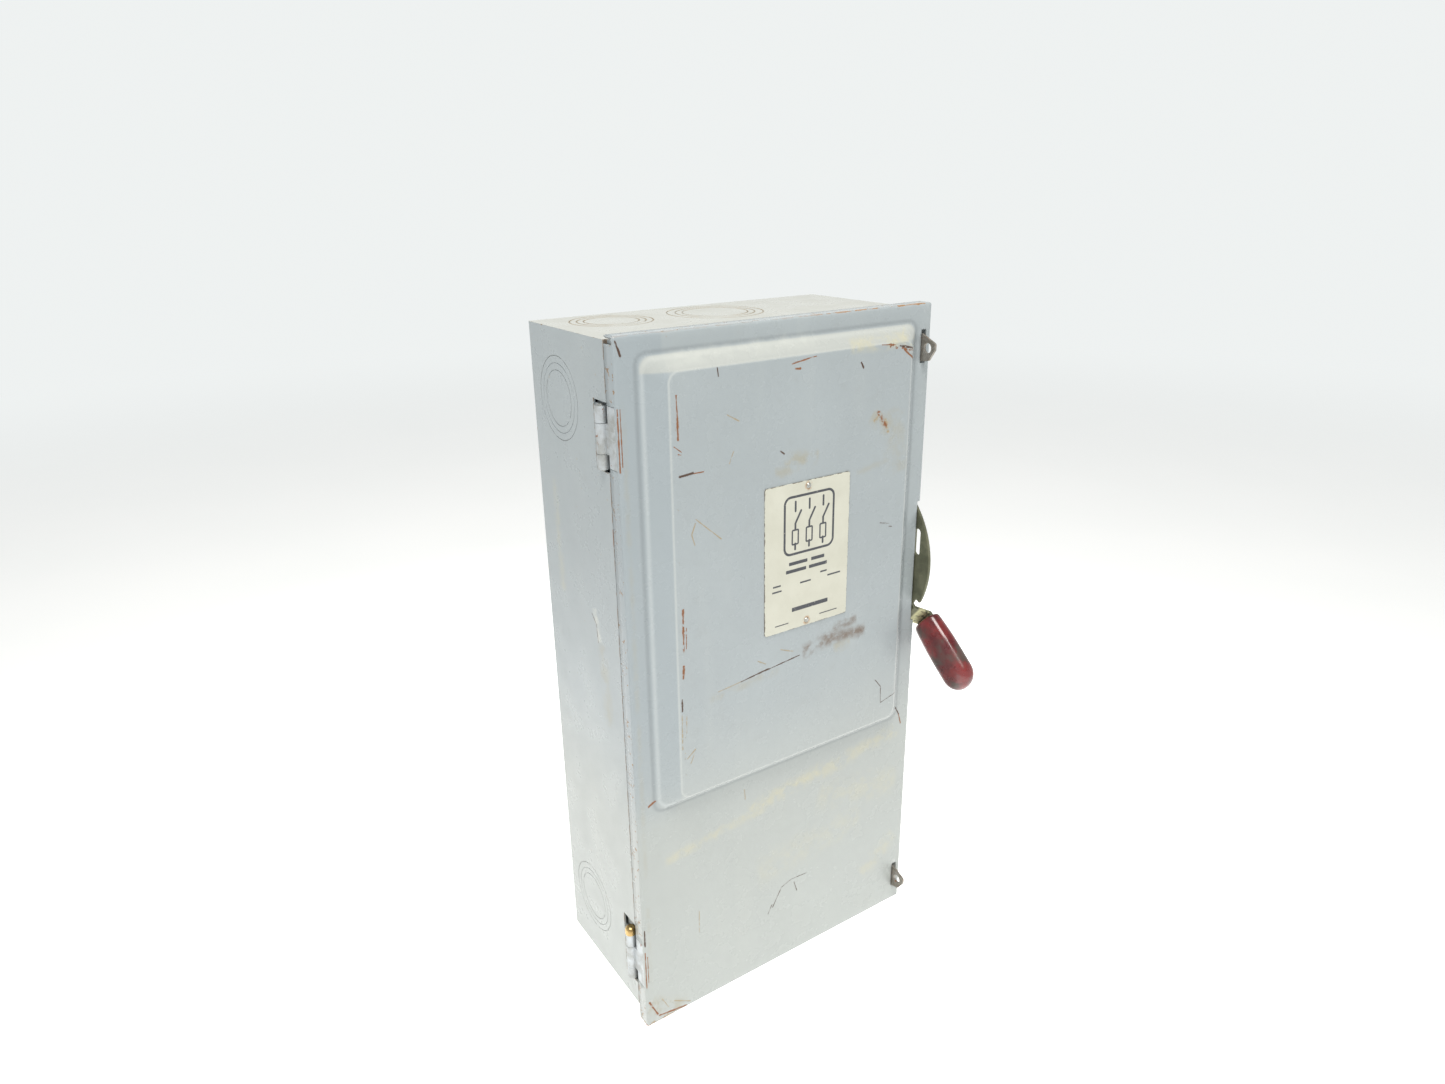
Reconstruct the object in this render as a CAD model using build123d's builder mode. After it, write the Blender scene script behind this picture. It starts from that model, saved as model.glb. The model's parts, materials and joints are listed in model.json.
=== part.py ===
"""Three-pole fusible safety switch (AC disconnect box) in a wall-mounted sheet-steel enclosure.

Frame: X to the right, Y towards the wall, Z up, in millimetres. The origin is on the back
plane, at the centre of the four wall-mounting holes. The cover faces -Y.
The handle is modelled in its lower, OFF, place, and the cover is shut.
"""
import os
from math import cos, radians, sin

from build123d import *

os.makedirs("parts", exist_ok=True)

# ---- enclosure ----
BOX_W, BOX_H = 329.0, 676.0
SHEET = 2.0
WALL_FRONT_Y = -156.0  # front face of the box's turned-in lip
LIP = 16.0
COVER_Y = -161.0  # front face of the flat part of the cover
COVER_W, COVER_H = 346.6, 698.5
COVER_X0 = -BOX_W / 2
COVER_X1 = COVER_X0 + COVER_W
COVER_Z0 = -356.6
COVER_Z1 = COVER_Z0 + COVER_H
FLANGE = 15.2  # depth of the cover's turned-back edge
FLANGE_Y = COVER_Y + FLANGE
LEFT_WALL_Y = FLANGE_Y + 1.0  # the left wall starts behind the cover's flange
RIM_GAP = 2.8  # from the left wall's outer face in to the rim behind the flange
RIM_X = COVER_X0 + RIM_GAP

# ---- raised panel of the cover ----
PANEL_H = 10.0
PANEL_BASE = (-144.0, 161.0, -103.0, 325.0)  # x0, x1, z0, z1 at the flat sheet
PANEL_TOP = (-121.0, 149.5, -94.0, 311.0)
PANEL_BASE_R, PANEL_TOP_R = 10.0, 10.0
PANEL_SOFT = 4.0

# ---- wall mounting and grounding ----
MOUNT_DX, MOUNT_DZ = 229.0, 584.0
MOUNT_R = 4.4

# ---- hinges: a vertical pin on each side of the left wall's front edge ----
HINGE_X, HINGE_Y = COVER_X0, -135.0
KNUCKLE_R, PIN_R, FIT = 5.5, 2.5, 0.05
HINGE_Z = {"upper": 229.9, "lower": -308.6}  # underside of the lowest knuckle
KNUCKLES = (0.0, 13.5, 39.5, 54.0)  # box, cover, box
LEAF_Z = (2.5, 55.0)
SLOT_TOP = {"upper": 57.5, "lower": 70.5}

# ---- padlock hasps ----
HASP_Z = {"upper": 299.9, "lower": -323.1}
HASP_X = (170.6, 173.1)
HASP_HOLE_R = 4.9

# ---- handle: turns about X ----
PIVOT_Y, PIVOT_Z = -86.0, 74.4
BUSH_R = 13.0
ARM_ANGLE = 41.0  # below the horizontal when OFF
QUADRANT_R = 95.0
PLATE_X = (178.5, 181.5)
STRAP_X = (194.0, 197.0)  # the strap cranks outwards to carry the grip clear of the box
STRAP_HALF, STRAP_END = 13.0, 176.0
SHAFT_R = 8.0
GRIP_T, GRIP_W, GRIP_L = 24.0, 39.0, 83.0
GRIP_START = 106.0
NOTCH_Z = (6.9, 141.9)
NOTCH_X = 177.5
FLANGE_NOTCH = (NOTCH_Z[0] - 19, NOTCH_Z[1] + 15)

# ---- switch mechanism ----
BAR_Y, BAR_Z = -54.0, 89.4  # axis of the insulated crossbar
BAR_SIDE, BAR_HALF, JOURNAL_R = 16.0, 104.0, 7.0
CRANK_L, CRANK_ANGLE = 26.0, 20.0  # both cranks, degrees above the forward direction when OFF
PIN4_R = 4.0
HANDLE_CRANK_X = (126.0, 130.0)
LINK_X = (121.3, 124.7)
BAR_CRANK_X = (116.0, 120.0)
MECH_PLATE_X = (131.0, 133.5)
HOOK_X = (139.0, 142.0)

# ---- poles ----
POLES = (-70.0, 0.0, 70.0)
BASE_Y = -31.0  # front face of the insulating bases
BLADE_T, BLADE_W, BLADE_R = 4.0, 24.0, 78.0
BLADE_OFF = 8.0  # degrees above the forward direction
JAW_GAP = 0.3
FUSE_Y, FUSE_R = -66.0, 26.0
FUSE_Z = (-191.0, -17.0)
CAP_H = 16.0
KNIFE_T, KNIFE_W, KNIFE_L = 4.8, 28.0, 32.0
LUG_BORE_R, LUG_SCREW_R = 8.2, 5.0
LUG_W, LUG_D, LUG_H = 26.0, 29.0, 28.0
LUG_BORE_BACK = 12.0  # from the strap to the bore's axis


def save(builder, label):
    """Labels a finished sub-part and writes its STEP file."""
    builder.part.label = label
    export_step(builder.part, f"parts/{label}.step")


def slab(x0, x1, y0, y1, z0, z1, mode=Mode.ADD):
    """A block between two corners, in the current part."""
    with Locations(((x0 + x1) / 2, (y0 + y1) / 2, (z0 + z1) / 2)):
        Box(x1 - x0, y1 - y0, z1 - z0, mode=mode)


def rod_x(x0, x1, y, z, r, mode=Mode.ADD):
    """A cylinder along X, in the current part."""
    with Locations(Location(((x0 + x1) / 2, y, z), (0, 90, 0))):
        Cylinder(r, x1 - x0, mode=mode)


def rod_y(x, z, y0, y1, r, mode=Mode.ADD):
    """A cylinder along Y, in the current part."""
    with Locations(Location((x, (y0 + y1) / 2, z), (90, 0, 0))):
        Cylinder(r, y1 - y0, mode=mode)


def rod_z(x, y, z0, z1, r, mode=Mode.ADD):
    """A cylinder along Z, in the current part."""
    with Locations((x, y, (z0 + z1) / 2)):
        Cylinder(r, z1 - z0, mode=mode)


def about(y, z, r, degrees):
    """A point at radius r from (y, z); 0 degrees is forward (-Y) and 90 is up."""
    a = radians(degrees)
    return (y - r * cos(a), z + r * sin(a))


# ---- knockouts ----
RING_W, RING_D, TIE_W = 0.45, 0.6, 5.0
SMALL_KO, LARGE_KO = (25.2, 31.4, 37.9), (31.4, 37.9, 46.0)


def knockout(plane, u, v, radii, turn):
    """Rings scored into a wall from its outside, each broken by two ties."""
    for i, r in enumerate(radii):
        with BuildSketch(plane) as ring:
            with Locations((u, v)):
                Circle(r)
                Circle(r - RING_W, mode=Mode.SUBTRACT)
                Rectangle(2 * r + 4, TIE_W, rotation=turn + 55 * i, mode=Mode.SUBTRACT)
        extrude(ring.sketch, amount=-RING_D, mode=Mode.SUBTRACT)


TOP_PLANE = Plane.XY.offset(BOX_H / 2)
BOTTOM_PLANE = Plane(origin=(0, 0, -BOX_H / 2), x_dir=(1, 0, 0), z_dir=(0, 0, -1))
LEFT_PLANE = Plane(origin=(-BOX_W / 2, 0, 0), x_dir=(0, -1, 0), z_dir=(-1, 0, 0))
KNOCKOUTS = (  # wall, place on it, ring radii, turn of the ties in degrees
    (TOP_PLANE, -105.8, -49.0, SMALL_KO, 70), (TOP_PLANE, 0.5, -57.0, LARGE_KO, 20),
    (LEFT_PLANE, 53.0, -266.4, SMALL_KO, 165), (LEFT_PLANE, 54.0, 275.9, SMALL_KO, 140),
    (BOTTOM_PLANE, 0.5, 57.0, LARGE_KO, 20),
)

with BuildPart() as enclosure_box:
    half_w, half_h = BOX_W / 2, BOX_H / 2
    slab(-half_w, half_w, WALL_FRONT_Y, 0, -half_h, half_h)
    slab(-half_w + SHEET, half_w - SHEET, WALL_FRONT_Y + SHEET, -SHEET,
         -half_h + SHEET, half_h - SHEET, mode=Mode.SUBTRACT)
    slab(-half_w + LIP + SHEET, half_w - LIP, WALL_FRONT_Y - 1, WALL_FRONT_Y + SHEET + 1,
         -half_h + LIP, half_h - LIP, mode=Mode.SUBTRACT)
    # the left wall steps in behind the cover's flange
    slab(-half_w - 1, RIM_X, WALL_FRONT_Y - 1, LEFT_WALL_Y, -half_h - 1, half_h + 1, mode=Mode.SUBTRACT)
    slab(RIM_X, RIM_X + SHEET, WALL_FRONT_Y, LEFT_WALL_Y + SHEET, -half_h, half_h)
    slab(-half_w, RIM_X + SHEET, LEFT_WALL_Y, LEFT_WALL_Y + SHEET, -half_h, half_h)
    for name, z in HINGE_Z.items():
        slab(-half_w - 1, RIM_X - 0.1, LEFT_WALL_Y - 1, HINGE_Y + 13, z - 2.5, z + SLOT_TOP[name],
             mode=Mode.SUBTRACT)
    for dx in (-MOUNT_DX / 2, MOUNT_DX / 2):
        for dz in (-MOUNT_DZ / 2, MOUNT_DZ / 2):
            rod_y(dx, dz, -3, 1, MOUNT_R, mode=Mode.SUBTRACT)
    rod_x(half_w - 3, half_w + 1, PIVOT_Y, PIVOT_Z, BUSH_R, mode=Mode.SUBTRACT)
    for place in KNOCKOUTS:
        knockout(*place)
save(enclosure_box, "enclosure_box")


def panel_solid(shift):
    """The raised panel as a solid, moved back by shift."""
    with BuildPart() as panel:
        for (x0, x1, z0, z1), r, h in ((PANEL_BASE, PANEL_BASE_R, 0), (PANEL_TOP, PANEL_TOP_R, PANEL_H)):
            with BuildSketch(Plane.XZ.offset(-COVER_Y - shift + h)):
                with Locations(((x0 + x1) / 2, (z0 + z1) / 2)):
                    RectangleRounded(x1 - x0, z1 - z0, r)
        loft()
        fillet(panel.edges().group_by(Axis.Y)[0], PANEL_SOFT)
    return panel.part


panel_outside, panel_inside = panel_solid(0), panel_solid(SHEET)

with BuildPart() as cover:
    slab(COVER_X0, COVER_X1, COVER_Y, FLANGE_Y, COVER_Z0, COVER_Z1)
    slab(COVER_X0 + SHEET, COVER_X1 - SHEET, COVER_Y + SHEET, FLANGE_Y + 1,
         COVER_Z0 + SHEET, COVER_Z1 - SHEET, mode=Mode.SUBTRACT)
    add(panel_outside)
    add(panel_inside, mode=Mode.SUBTRACT)
    # relief at the corner of the top and left flanges
    slab(COVER_X0 - 1, COVER_X0 + 3, COVER_Y + SHEET, FLANGE_Y + 1, COVER_Z1 - 7, COVER_Z1 + 1,
         mode=Mode.SUBTRACT)
    # handle notch: the sheet's edge, and a longer one in the flange
    slab(NOTCH_X, COVER_X1 + 1, COVER_Y - 1, FLANGE_Y + 1, *NOTCH_Z, mode=Mode.SUBTRACT)
    slab(NOTCH_X, COVER_X1 + 1, COVER_Y + SHEET, FLANGE_Y + 1, *FLANGE_NOTCH, mode=Mode.SUBTRACT)
    for z in HASP_Z.values():
        slab(HASP_X[0] - 0.8, HASP_X[1] + 3.2, COVER_Y - 1, COVER_Y + SHEET + 1, z - 15.3, z + 17.2,
             mode=Mode.SUBTRACT)
    for z in HINGE_Z.values():
        slab(COVER_X0 - 1, COVER_X0 + SHEET + 0.1, COVER_Y + SHEET, FLANGE_Y + 1,
             z + LEAF_Z[0] - 0.5, z + LEAF_Z[1] + 0.5, mode=Mode.SUBTRACT)
save(cover, "cover")

# ---- rating plate on the raised panel ----
PLATE_CX, PLATE_CZ, PLATE_W, PLATE_H, PLATE_T = 25.1, 121.7, 100.0, 146.0, 0.8
PANEL_FACE_Y = COVER_Y - PANEL_H
RIVET_DZ, RIVET_R, RIVET_HEAD_R = 68.0, 1.6, 2.8
with BuildPart() as rating_plate:
    with BuildSketch(Plane.XZ.offset(-PANEL_FACE_Y)):
        with Locations((PLATE_CX, PLATE_CZ)):
            RectangleRounded(PLATE_W, PLATE_H, 2.5)
            with GridLocations(0, 2 * RIVET_DZ, 1, 2):
                Circle(RIVET_R, mode=Mode.SUBTRACT)
    extrude(amount=PLATE_T)
save(rating_plate, "rating_plate")

with BuildPart() as rating_plate_rivets:
    for dz in (-RIVET_DZ, RIVET_DZ):
        rod_y(PLATE_CX, PLATE_CZ + dz, PANEL_FACE_Y - PLATE_T, PANEL_FACE_Y, RIVET_R)
        with BuildSketch(Plane.XZ.offset(-PANEL_FACE_Y + PLATE_T)):
            with Locations((PLATE_CX, PLATE_CZ + dz)):
                Circle(RIVET_HEAD_R)
        extrude(amount=1.2, taper=35)
save(rating_plate_rivets, "rating_plate_rivets")

# ---- hinges ----
for name, z in HINGE_Z.items():
    low, split_low, split_high, high = (z + k for k in KNUCKLES)
    with BuildPart() as box_leaf:
        for z0, z1 in ((low, split_low - 0.3), (split_high + 0.3, high)):
            rod_z(HINGE_X, HINGE_Y, z0, z1, KNUCKLE_R)
            slab(HINGE_X + SHEET, HINGE_X + 2 * SHEET, HINGE_Y, HINGE_Y + 14, z0, z1)
        slab(HINGE_X + SHEET, HINGE_X + 2 * SHEET, HINGE_Y + 6.2, HINGE_Y + 43, low, high)
        rod_z(HINGE_X, HINGE_Y, low - 1, high + 1, PIN_R, mode=Mode.SUBTRACT)
    save(box_leaf, f"hinge_leaf_box_{name}")
    with BuildPart() as cover_leaf:
        rod_z(HINGE_X, HINGE_Y, split_low, split_high, KNUCKLE_R)
        slab(HINGE_X, HINGE_X + SHEET, FLANGE_Y - 3, HINGE_Y, split_low, split_high)
        slab(HINGE_X, HINGE_X + SHEET, COVER_Y + SHEET, FLANGE_Y, z + LEAF_Z[0], z + LEAF_Z[1])
        slab(HINGE_X, HINGE_X + 17, COVER_Y + SHEET, COVER_Y + 2 * SHEET, z + LEAF_Z[0], z + LEAF_Z[1])
        rod_z(HINGE_X, HINGE_Y, low, high, PIN_R + FIT, mode=Mode.SUBTRACT)
    save(cover_leaf, f"hinge_leaf_cover_{name}")

with BuildPart() as hinge_pin_upper:
    rod_z(HINGE_X, HINGE_Y, HINGE_Z["upper"] - 1.6, HINGE_Z["upper"] + KNUCKLES[3] + 1.4, PIN_R)
save(hinge_pin_upper, "hinge_pin_upper")

PIN_HEAD_Z = HINGE_Z["lower"] + KNUCKLES[3]
with BuildPart() as hinge_pin_lower:
    rod_z(HINGE_X, HINGE_Y, HINGE_Z["lower"] - 2, PIN_HEAD_Z, PIN_R)
    rod_z(HINGE_X, HINGE_Y, PIN_HEAD_Z, PIN_HEAD_Z + 8.5, 5.6)
    fillet(hinge_pin_lower.edges().group_by(Axis.Z)[-1], 4.4)
save(hinge_pin_lower, "hinge_pin_lower")

# ---- padlock hasps on the right wall ----
for name, z in HASP_Z.items():
    with BuildPart() as hasp:
        with BuildSketch(Plane.YZ.offset(HASP_X[0])) as tab:
            with BuildLine():
                Polyline((-147.5, z - 13.6), (-147.5, z + 13.2), (-160.5, z + 13.2), (-178.5, z + 5.2),
                         (-178.5, z - 1.0), (-171.0, z - 11.8), (-161.0, z - 13.6), close=True)
            make_face()
            fillet(tab.vertices().group_by(Axis.X)[0], 2.6)
            with Locations((-169.0, z + 0.2)):
                Circle(HASP_HOLE_R, mode=Mode.SUBTRACT)
        extrude(amount=HASP_X[1] - HASP_X[0])
        slab(half_w, HASP_X[1], -150.0, -147.5, z - 13.6, z + 13.2)
        slab(half_w, half_w + 2.5, -150.0, -112.0, z - 13.6, z + 13.2)
    save(hasp, f"hasp_{name}")

# ---- handle ----
pivot = (PIVOT_Y, PIVOT_Z)
arm_d = Vector(0, -cos(radians(ARM_ANGLE)), -sin(radians(ARM_ANGLE)))
arm_side = Plane(origin=(0, *pivot), x_dir=(1, 0, 0), z_dir=Vector(1, 0, 0).cross(arm_d))


def sector(r, low, high):
    """A pie slice about the pivot, in the current sketch."""
    with BuildLine() as edge:
        Line(pivot, about(*pivot, r, low))
        ThreePointArc(about(*pivot, r, low), about(*pivot, r, (low + high) / 2), about(*pivot, r, high))
        Line(about(*pivot, r, high), pivot)
    make_face(edge.line.edges())


with BuildPart() as handle_plate:
    with BuildSketch(Plane.YZ.offset(PLATE_X[0])) as outline:
        sector(QUADRANT_R, -27, 52)
        sector(QUADRANT_R - 6.5, -ARM_ANGLE - 8, -20)
        with Locations(pivot):
            Circle(22)
    extrude(amount=PLATE_X[1] - PLATE_X[0])
    with BuildSketch(arm_side):
        with BuildLine():
            Polyline((PLATE_X[0], 60), (PLATE_X[1], 60), (PLATE_X[1], 91), (STRAP_X[1], 102),
                     (STRAP_X[1], STRAP_END), (STRAP_X[0], STRAP_END), (STRAP_X[0], 103.6),
                     (PLATE_X[0], 92.6), close=True)
        make_face()
    extrude(amount=STRAP_HALF, both=True)
    with BuildSketch(Plane.YZ.offset(PLATE_X[0])):  # padlock slot and lightening hole
        with Locations((-163.0, 97.9)):
            SlotOverall(29, 7.6, rotation=90)
        with Locations(about(*pivot, 52, 12)):
            Circle(13)
        with Locations(pivot):
            Circle(SHAFT_R - 1)
    extrude(amount=PLATE_X[1] - PLATE_X[0], mode=Mode.SUBTRACT)
save(handle_plate, "handle_plate")

grip_plane = Plane(origin=(sum(STRAP_X) / 2, *pivot), x_dir=(1, 0, 0), z_dir=arm_d)
with BuildPart() as handle_grip:
    with BuildSketch(grip_plane.offset(GRIP_START)):
        RectangleRounded(GRIP_T, GRIP_W, 10.5)
    extrude(amount=GRIP_L)
    along = Axis((0, *pivot), tuple(arm_d))
    fillet(handle_grip.edges().group_by(along)[-1], 9.5)
    fillet(handle_grip.edges().group_by(along)[0], 3.5)
    with BuildSketch(grip_plane.offset(GRIP_START - 1)):
        Rectangle(STRAP_X[1] - STRAP_X[0], 2 * STRAP_HALF)
    extrude(amount=STRAP_END - GRIP_START + 1, mode=Mode.SUBTRACT)
save(handle_grip, "handle_grip")

BUSH_X = (158.5, 168.0)
with BuildPart() as handle_shaft:
    rod_x(HANDLE_CRANK_X[0], PLATE_X[0], *pivot, SHAFT_R)
    rod_x(BUSH_X[1] + 0.4, PLATE_X[0], *pivot, 15)
    rod_x(PLATE_X[0], 190.0, *pivot, SHAFT_R - 1)
save(handle_shaft, "handle_shaft")

with BuildPart() as handle_nut:
    with BuildSketch(Plane.YZ.offset(PLATE_X[1])):
        with Locations(pivot):
            RegularPolygon(12.5, 6)
            Circle(SHAFT_R - 1, mode=Mode.SUBTRACT)
    extrude(amount=6.5)
save(handle_nut, "handle_nut")

with BuildPart() as handle_bushing:
    rod_x(BUSH_X[0], half_w, *pivot, BUSH_R)
    rod_x(half_w, BUSH_X[1], *pivot, 19.0)
    rod_x(BUSH_X[0] - 1, BUSH_X[1] + 1, *pivot, SHAFT_R + FIT, mode=Mode.SUBTRACT)
save(handle_bushing, "handle_bushing")

with BuildPart() as bushing_locknut:
    with BuildSketch(Plane.YZ.offset(BUSH_X[0] + 0.5)):
        with Locations(pivot):
            RegularPolygon(19, 6)
            Circle(BUSH_R, mode=Mode.SUBTRACT)
    extrude(amount=half_w - SHEET - BUSH_X[0] - 0.5)
save(bushing_locknut, "bushing_locknut")

# ---- cover interlock: the hook stands in front of the cover's catch when the switch is ON ----
HOOK_R = (57.0, 63.5)
HOOK_TIP, HOOK_ARM = -40.0, -66.0  # degrees when OFF
with BuildPart() as interlock_hook:
    with BuildSketch(Plane.YZ.offset(HOOK_X[0])) as hook_outline:
        sector(HOOK_R[1], HOOK_ARM - 8, HOOK_TIP)
        with BuildLine():
            a, b = HOOK_ARM + 1, HOOK_TIP + 2
            Polyline(pivot, about(*pivot, HOOK_R[0], a), about(*pivot, HOOK_R[0], (a + b) / 2),
                     about(*pivot, HOOK_R[0], b), close=True)
        make_face(mode=Mode.SUBTRACT)
        with Locations(pivot):
            Circle(15)
            Circle(SHAFT_R, mode=Mode.SUBTRACT)
    extrude(amount=HOOK_X[1] - HOOK_X[0])
save(interlock_hook, "interlock_hook")

CATCH_Z = (PIVOT_Z + 33, PIVOT_Z + 49)
with BuildPart() as cover_catch:
    slab(144.0, 169.0, COVER_Y + SHEET, COVER_Y + 2 * SHEET, *CATCH_Z)
    slab(144.0, 146.0, COVER_Y + SHEET, PIVOT_Y - 37, *CATCH_Z)
    slab(136.0, 146.0, PIVOT_Y - 39, PIVOT_Y - 37, *CATCH_Z)
save(cover_catch, "cover_catch")


# ---- drive: two equal cranks and a link that stays parallel to the line between their shafts ----
def crank(arm_x, y, z, hole_r, pin_x, hub_r):
    """A crank arm on a shaft at (y, z) with its pin, in the current part."""
    tip = about(y, z, CRANK_L, CRANK_ANGLE)
    rod_x(*arm_x, y, z, hub_r)
    rod_x(*arm_x, *tip, 8.5)
    with BuildSketch(Plane.YZ.offset(arm_x[0])) as web:
        with Locations(about(y, z, CRANK_L / 2, CRANK_ANGLE)):
            Rectangle(CRANK_L, 17, rotation=-CRANK_ANGLE)
    extrude(web.sketch, amount=arm_x[1] - arm_x[0])
    rod_x(arm_x[0] - 1, arm_x[1] + 1, y, z, hole_r, mode=Mode.SUBTRACT)
    rod_x(*pin_x, *tip, PIN4_R)


with BuildPart() as handle_crank:
    crank(HANDLE_CRANK_X, *pivot, SHAFT_R, (LINK_X[0], HANDLE_CRANK_X[0]), 14)
save(handle_crank, "handle_crank")

with BuildPart() as crossbar_crank:
    crank(BAR_CRANK_X, BAR_Y, BAR_Z, JOURNAL_R, (BAR_CRANK_X[1], LINK_X[1]), 13)
save(crossbar_crank, "crossbar_crank")

with BuildPart() as drive_link:
    link_a = about(*pivot, CRANK_L, CRANK_ANGLE)
    link_b = about(BAR_Y, BAR_Z, CRANK_L, CRANK_ANGLE)
    with BuildSketch(Plane.YZ.offset(LINK_X[0])):
        for end in (link_a, link_b):
            with Locations(end):
                Circle(8.5)
        middle = ((link_a[0] + link_b[0]) / 2, (link_a[1] + link_b[1]) / 2)
        tilt = Vector(link_b[0] - link_a[0], link_b[1] - link_a[1])
        with Locations(middle):
            Rectangle(tilt.length, 13, rotation=Vector(1, 0).get_signed_angle(tilt))
        for end in (link_a, link_b):
            with Locations(end):
                Circle(PIN4_R + FIT, mode=Mode.SUBTRACT)
    extrude(amount=LINK_X[1] - LINK_X[0])
save(drive_link, "drive_link")

with BuildPart() as mechanism_plate:
    slab(*MECH_PLATE_X, PIVOT_Y - 22, -SHEET, PIVOT_Z - 26, PIVOT_Z + 60)
    slab(MECH_PLATE_X[0], 152.0, -SHEET - 2.5, -SHEET, PIVOT_Z - 26, PIVOT_Z + 60)
    rod_x(120, 140, *pivot, SHAFT_R + FIT, mode=Mode.SUBTRACT)
save(mechanism_plate, "mechanism_plate")

with BuildPart() as handle_spring:
    with BuildLine() as coil:
        Helix(pitch=2.9, height=10.5, radius=11.0, center=(145.0, *pivot), direction=(1, 0, 0))
    with BuildSketch(Plane(origin=coil.line @ 0, z_dir=coil.line % 0)):
        Circle(1.2)
    sweep()
save(handle_spring, "handle_spring")

# ---- crossbar with its three blades ----
with BuildPart() as crossbar:
    with BuildSketch(Plane.YZ.offset(-BAR_HALF)):
        with Locations((BAR_Y, BAR_Z)):
            Rectangle(BAR_SIDE, BAR_SIDE, rotation=-BLADE_OFF)
    extrude(amount=2 * BAR_HALF)
    rod_x(-BAR_HALF - 14, -BAR_HALF, BAR_Y, BAR_Z, JOURNAL_R)
    rod_x(BAR_HALF, BAR_CRANK_X[1], BAR_Y, BAR_Z, JOURNAL_R)
save(crossbar, "crossbar")

BEARING_T, BEARING_HALF, BEARING_FOOT = 3.0, 16.0, 12.0
for side, x0 in (("left", -108.5), ("right", 105.5)):
    with BuildPart() as bearing:
        slab(x0, x0 + BEARING_T, BAR_Y - 18, BASE_Y, BAR_Z - BEARING_HALF, BAR_Z + BEARING_HALF)
        foot = x0 + BEARING_T if side == "left" else x0 - BEARING_FOOT
        slab(foot, foot + BEARING_FOOT, BASE_Y - BEARING_T, BASE_Y,
             BAR_Z - BEARING_HALF, BAR_Z + BEARING_HALF)
        rod_x(x0 - 1, x0 + BEARING_T + 1, BAR_Y, BAR_Z, JOURNAL_R + FIT, mode=Mode.SUBTRACT)
        hole_x = x0 + 10 if side == "left" else x0 - 7
        for hole_z in (BAR_Z - 10, BAR_Z + 10):
            rod_y(hole_x, hole_z, BASE_Y - BEARING_T - 1, BASE_Y + 1, 2.5, mode=Mode.SUBTRACT)
    save(bearing, f"crossbar_bearing_{side}")


def pole_blade(x):
    """A moving contact: a hub on the square bar and a blade with a rounded tip."""
    with BuildPart() as blade:
        with BuildSketch(Plane.YZ.offset(x - BLADE_T / 2)):
            with Locations((BAR_Y, BAR_Z)):
                Circle(20)
            with Locations(about(BAR_Y, BAR_Z, BLADE_R / 2, BLADE_OFF)):
                RectangleRounded(BLADE_R, BLADE_W, 6, rotation=-BLADE_OFF)
            with Locations((BAR_Y, BAR_Z)):
                Rectangle(BAR_SIDE, BAR_SIDE, rotation=-BLADE_OFF, mode=Mode.SUBTRACT)
        extrude(amount=BLADE_T)
    return blade


JAW_Z = (BAR_Z + 50, BAR_Z + 76)
STRAP_T, STRAP_W = 3.0, 24.0  # copper straps of the terminals
LEAF_T, CLIP_T, CLIP_H = 2.2, 2.4, 26.0


def leaves(x, inner, outer, y0, y1, z0, z1):
    """Two upright contact leaves either side of a blade at x, in the current part."""
    slab(x - outer, x - inner, y0, y1, z0, z1)
    slab(x + inner, x + outer, y0, y1, z0, z1)


def line_terminal(x):
    """A line jaw and the strap that carries its lug."""
    inner = BLADE_T / 2 + JAW_GAP
    with BuildPart() as terminal:
        leaves(x, inner, inner + LEAF_T, BAR_Y - BLADE_W / 2 + 2, BASE_Y - STRAP_T, *JAW_Z)
        slab(x - STRAP_W / 2, x + STRAP_W / 2, BASE_Y - STRAP_T, BASE_Y, JAW_Z[0], JAW_Z[1] + 44)
    return terminal


def load_terminal(x):
    """Leaves on the blade's hub and, on the same strap, the fuse's upper clip."""
    inner, clip, low = BLADE_T / 2 + JAW_GAP, KNIFE_T / 2, FUSE_Z[1] + 4
    with BuildPart() as terminal:
        leaves(x, inner, inner + LEAF_T, BAR_Y + 12.2, BASE_Y - STRAP_T, BAR_Z - 12, BAR_Z + 12)
        slab(x - STRAP_W / 2, x + STRAP_W / 2, BASE_Y - STRAP_T, BASE_Y, low, BAR_Z + 12)
        leaves(x, clip, clip + CLIP_T, FUSE_Y - KNIFE_W / 2, BASE_Y - STRAP_T, low, low + CLIP_H)
    return terminal


def fuse_clip_lower(x):
    """The fuse's lower clip on the strap that carries the load lug."""
    clip, high = KNIFE_T / 2, FUSE_Z[0] - 4
    with BuildPart() as terminal:
        leaves(x, clip, clip + CLIP_T, FUSE_Y - KNIFE_W / 2, BASE_Y - STRAP_T, high - CLIP_H, high)
        slab(x - STRAP_W / 2, x + STRAP_W / 2, BASE_Y - STRAP_T, BASE_Y, FUSE_Z[0] - 66, high)
    return terminal


def lug(x, z0):
    """A mechanical lug: a block with a cable bore along Z and a screw hole from the front."""
    y1 = BASE_Y - STRAP_T
    with BuildPart() as block:
        slab(x - LUG_W / 2, x + LUG_W / 2, y1 - LUG_D, y1, z0, z0 + LUG_H)
        chamfer(block.edges().filter_by(Axis.Z), 2)
        rod_z(x, y1 - LUG_BORE_BACK, z0 - 1, z0 + LUG_H + 1, LUG_BORE_R, mode=Mode.SUBTRACT)
        rod_y(x, z0 + LUG_H / 2, y1 - LUG_D - 1, y1 - LUG_BORE_BACK, LUG_SCREW_R, mode=Mode.SUBTRACT)
    return block


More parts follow.
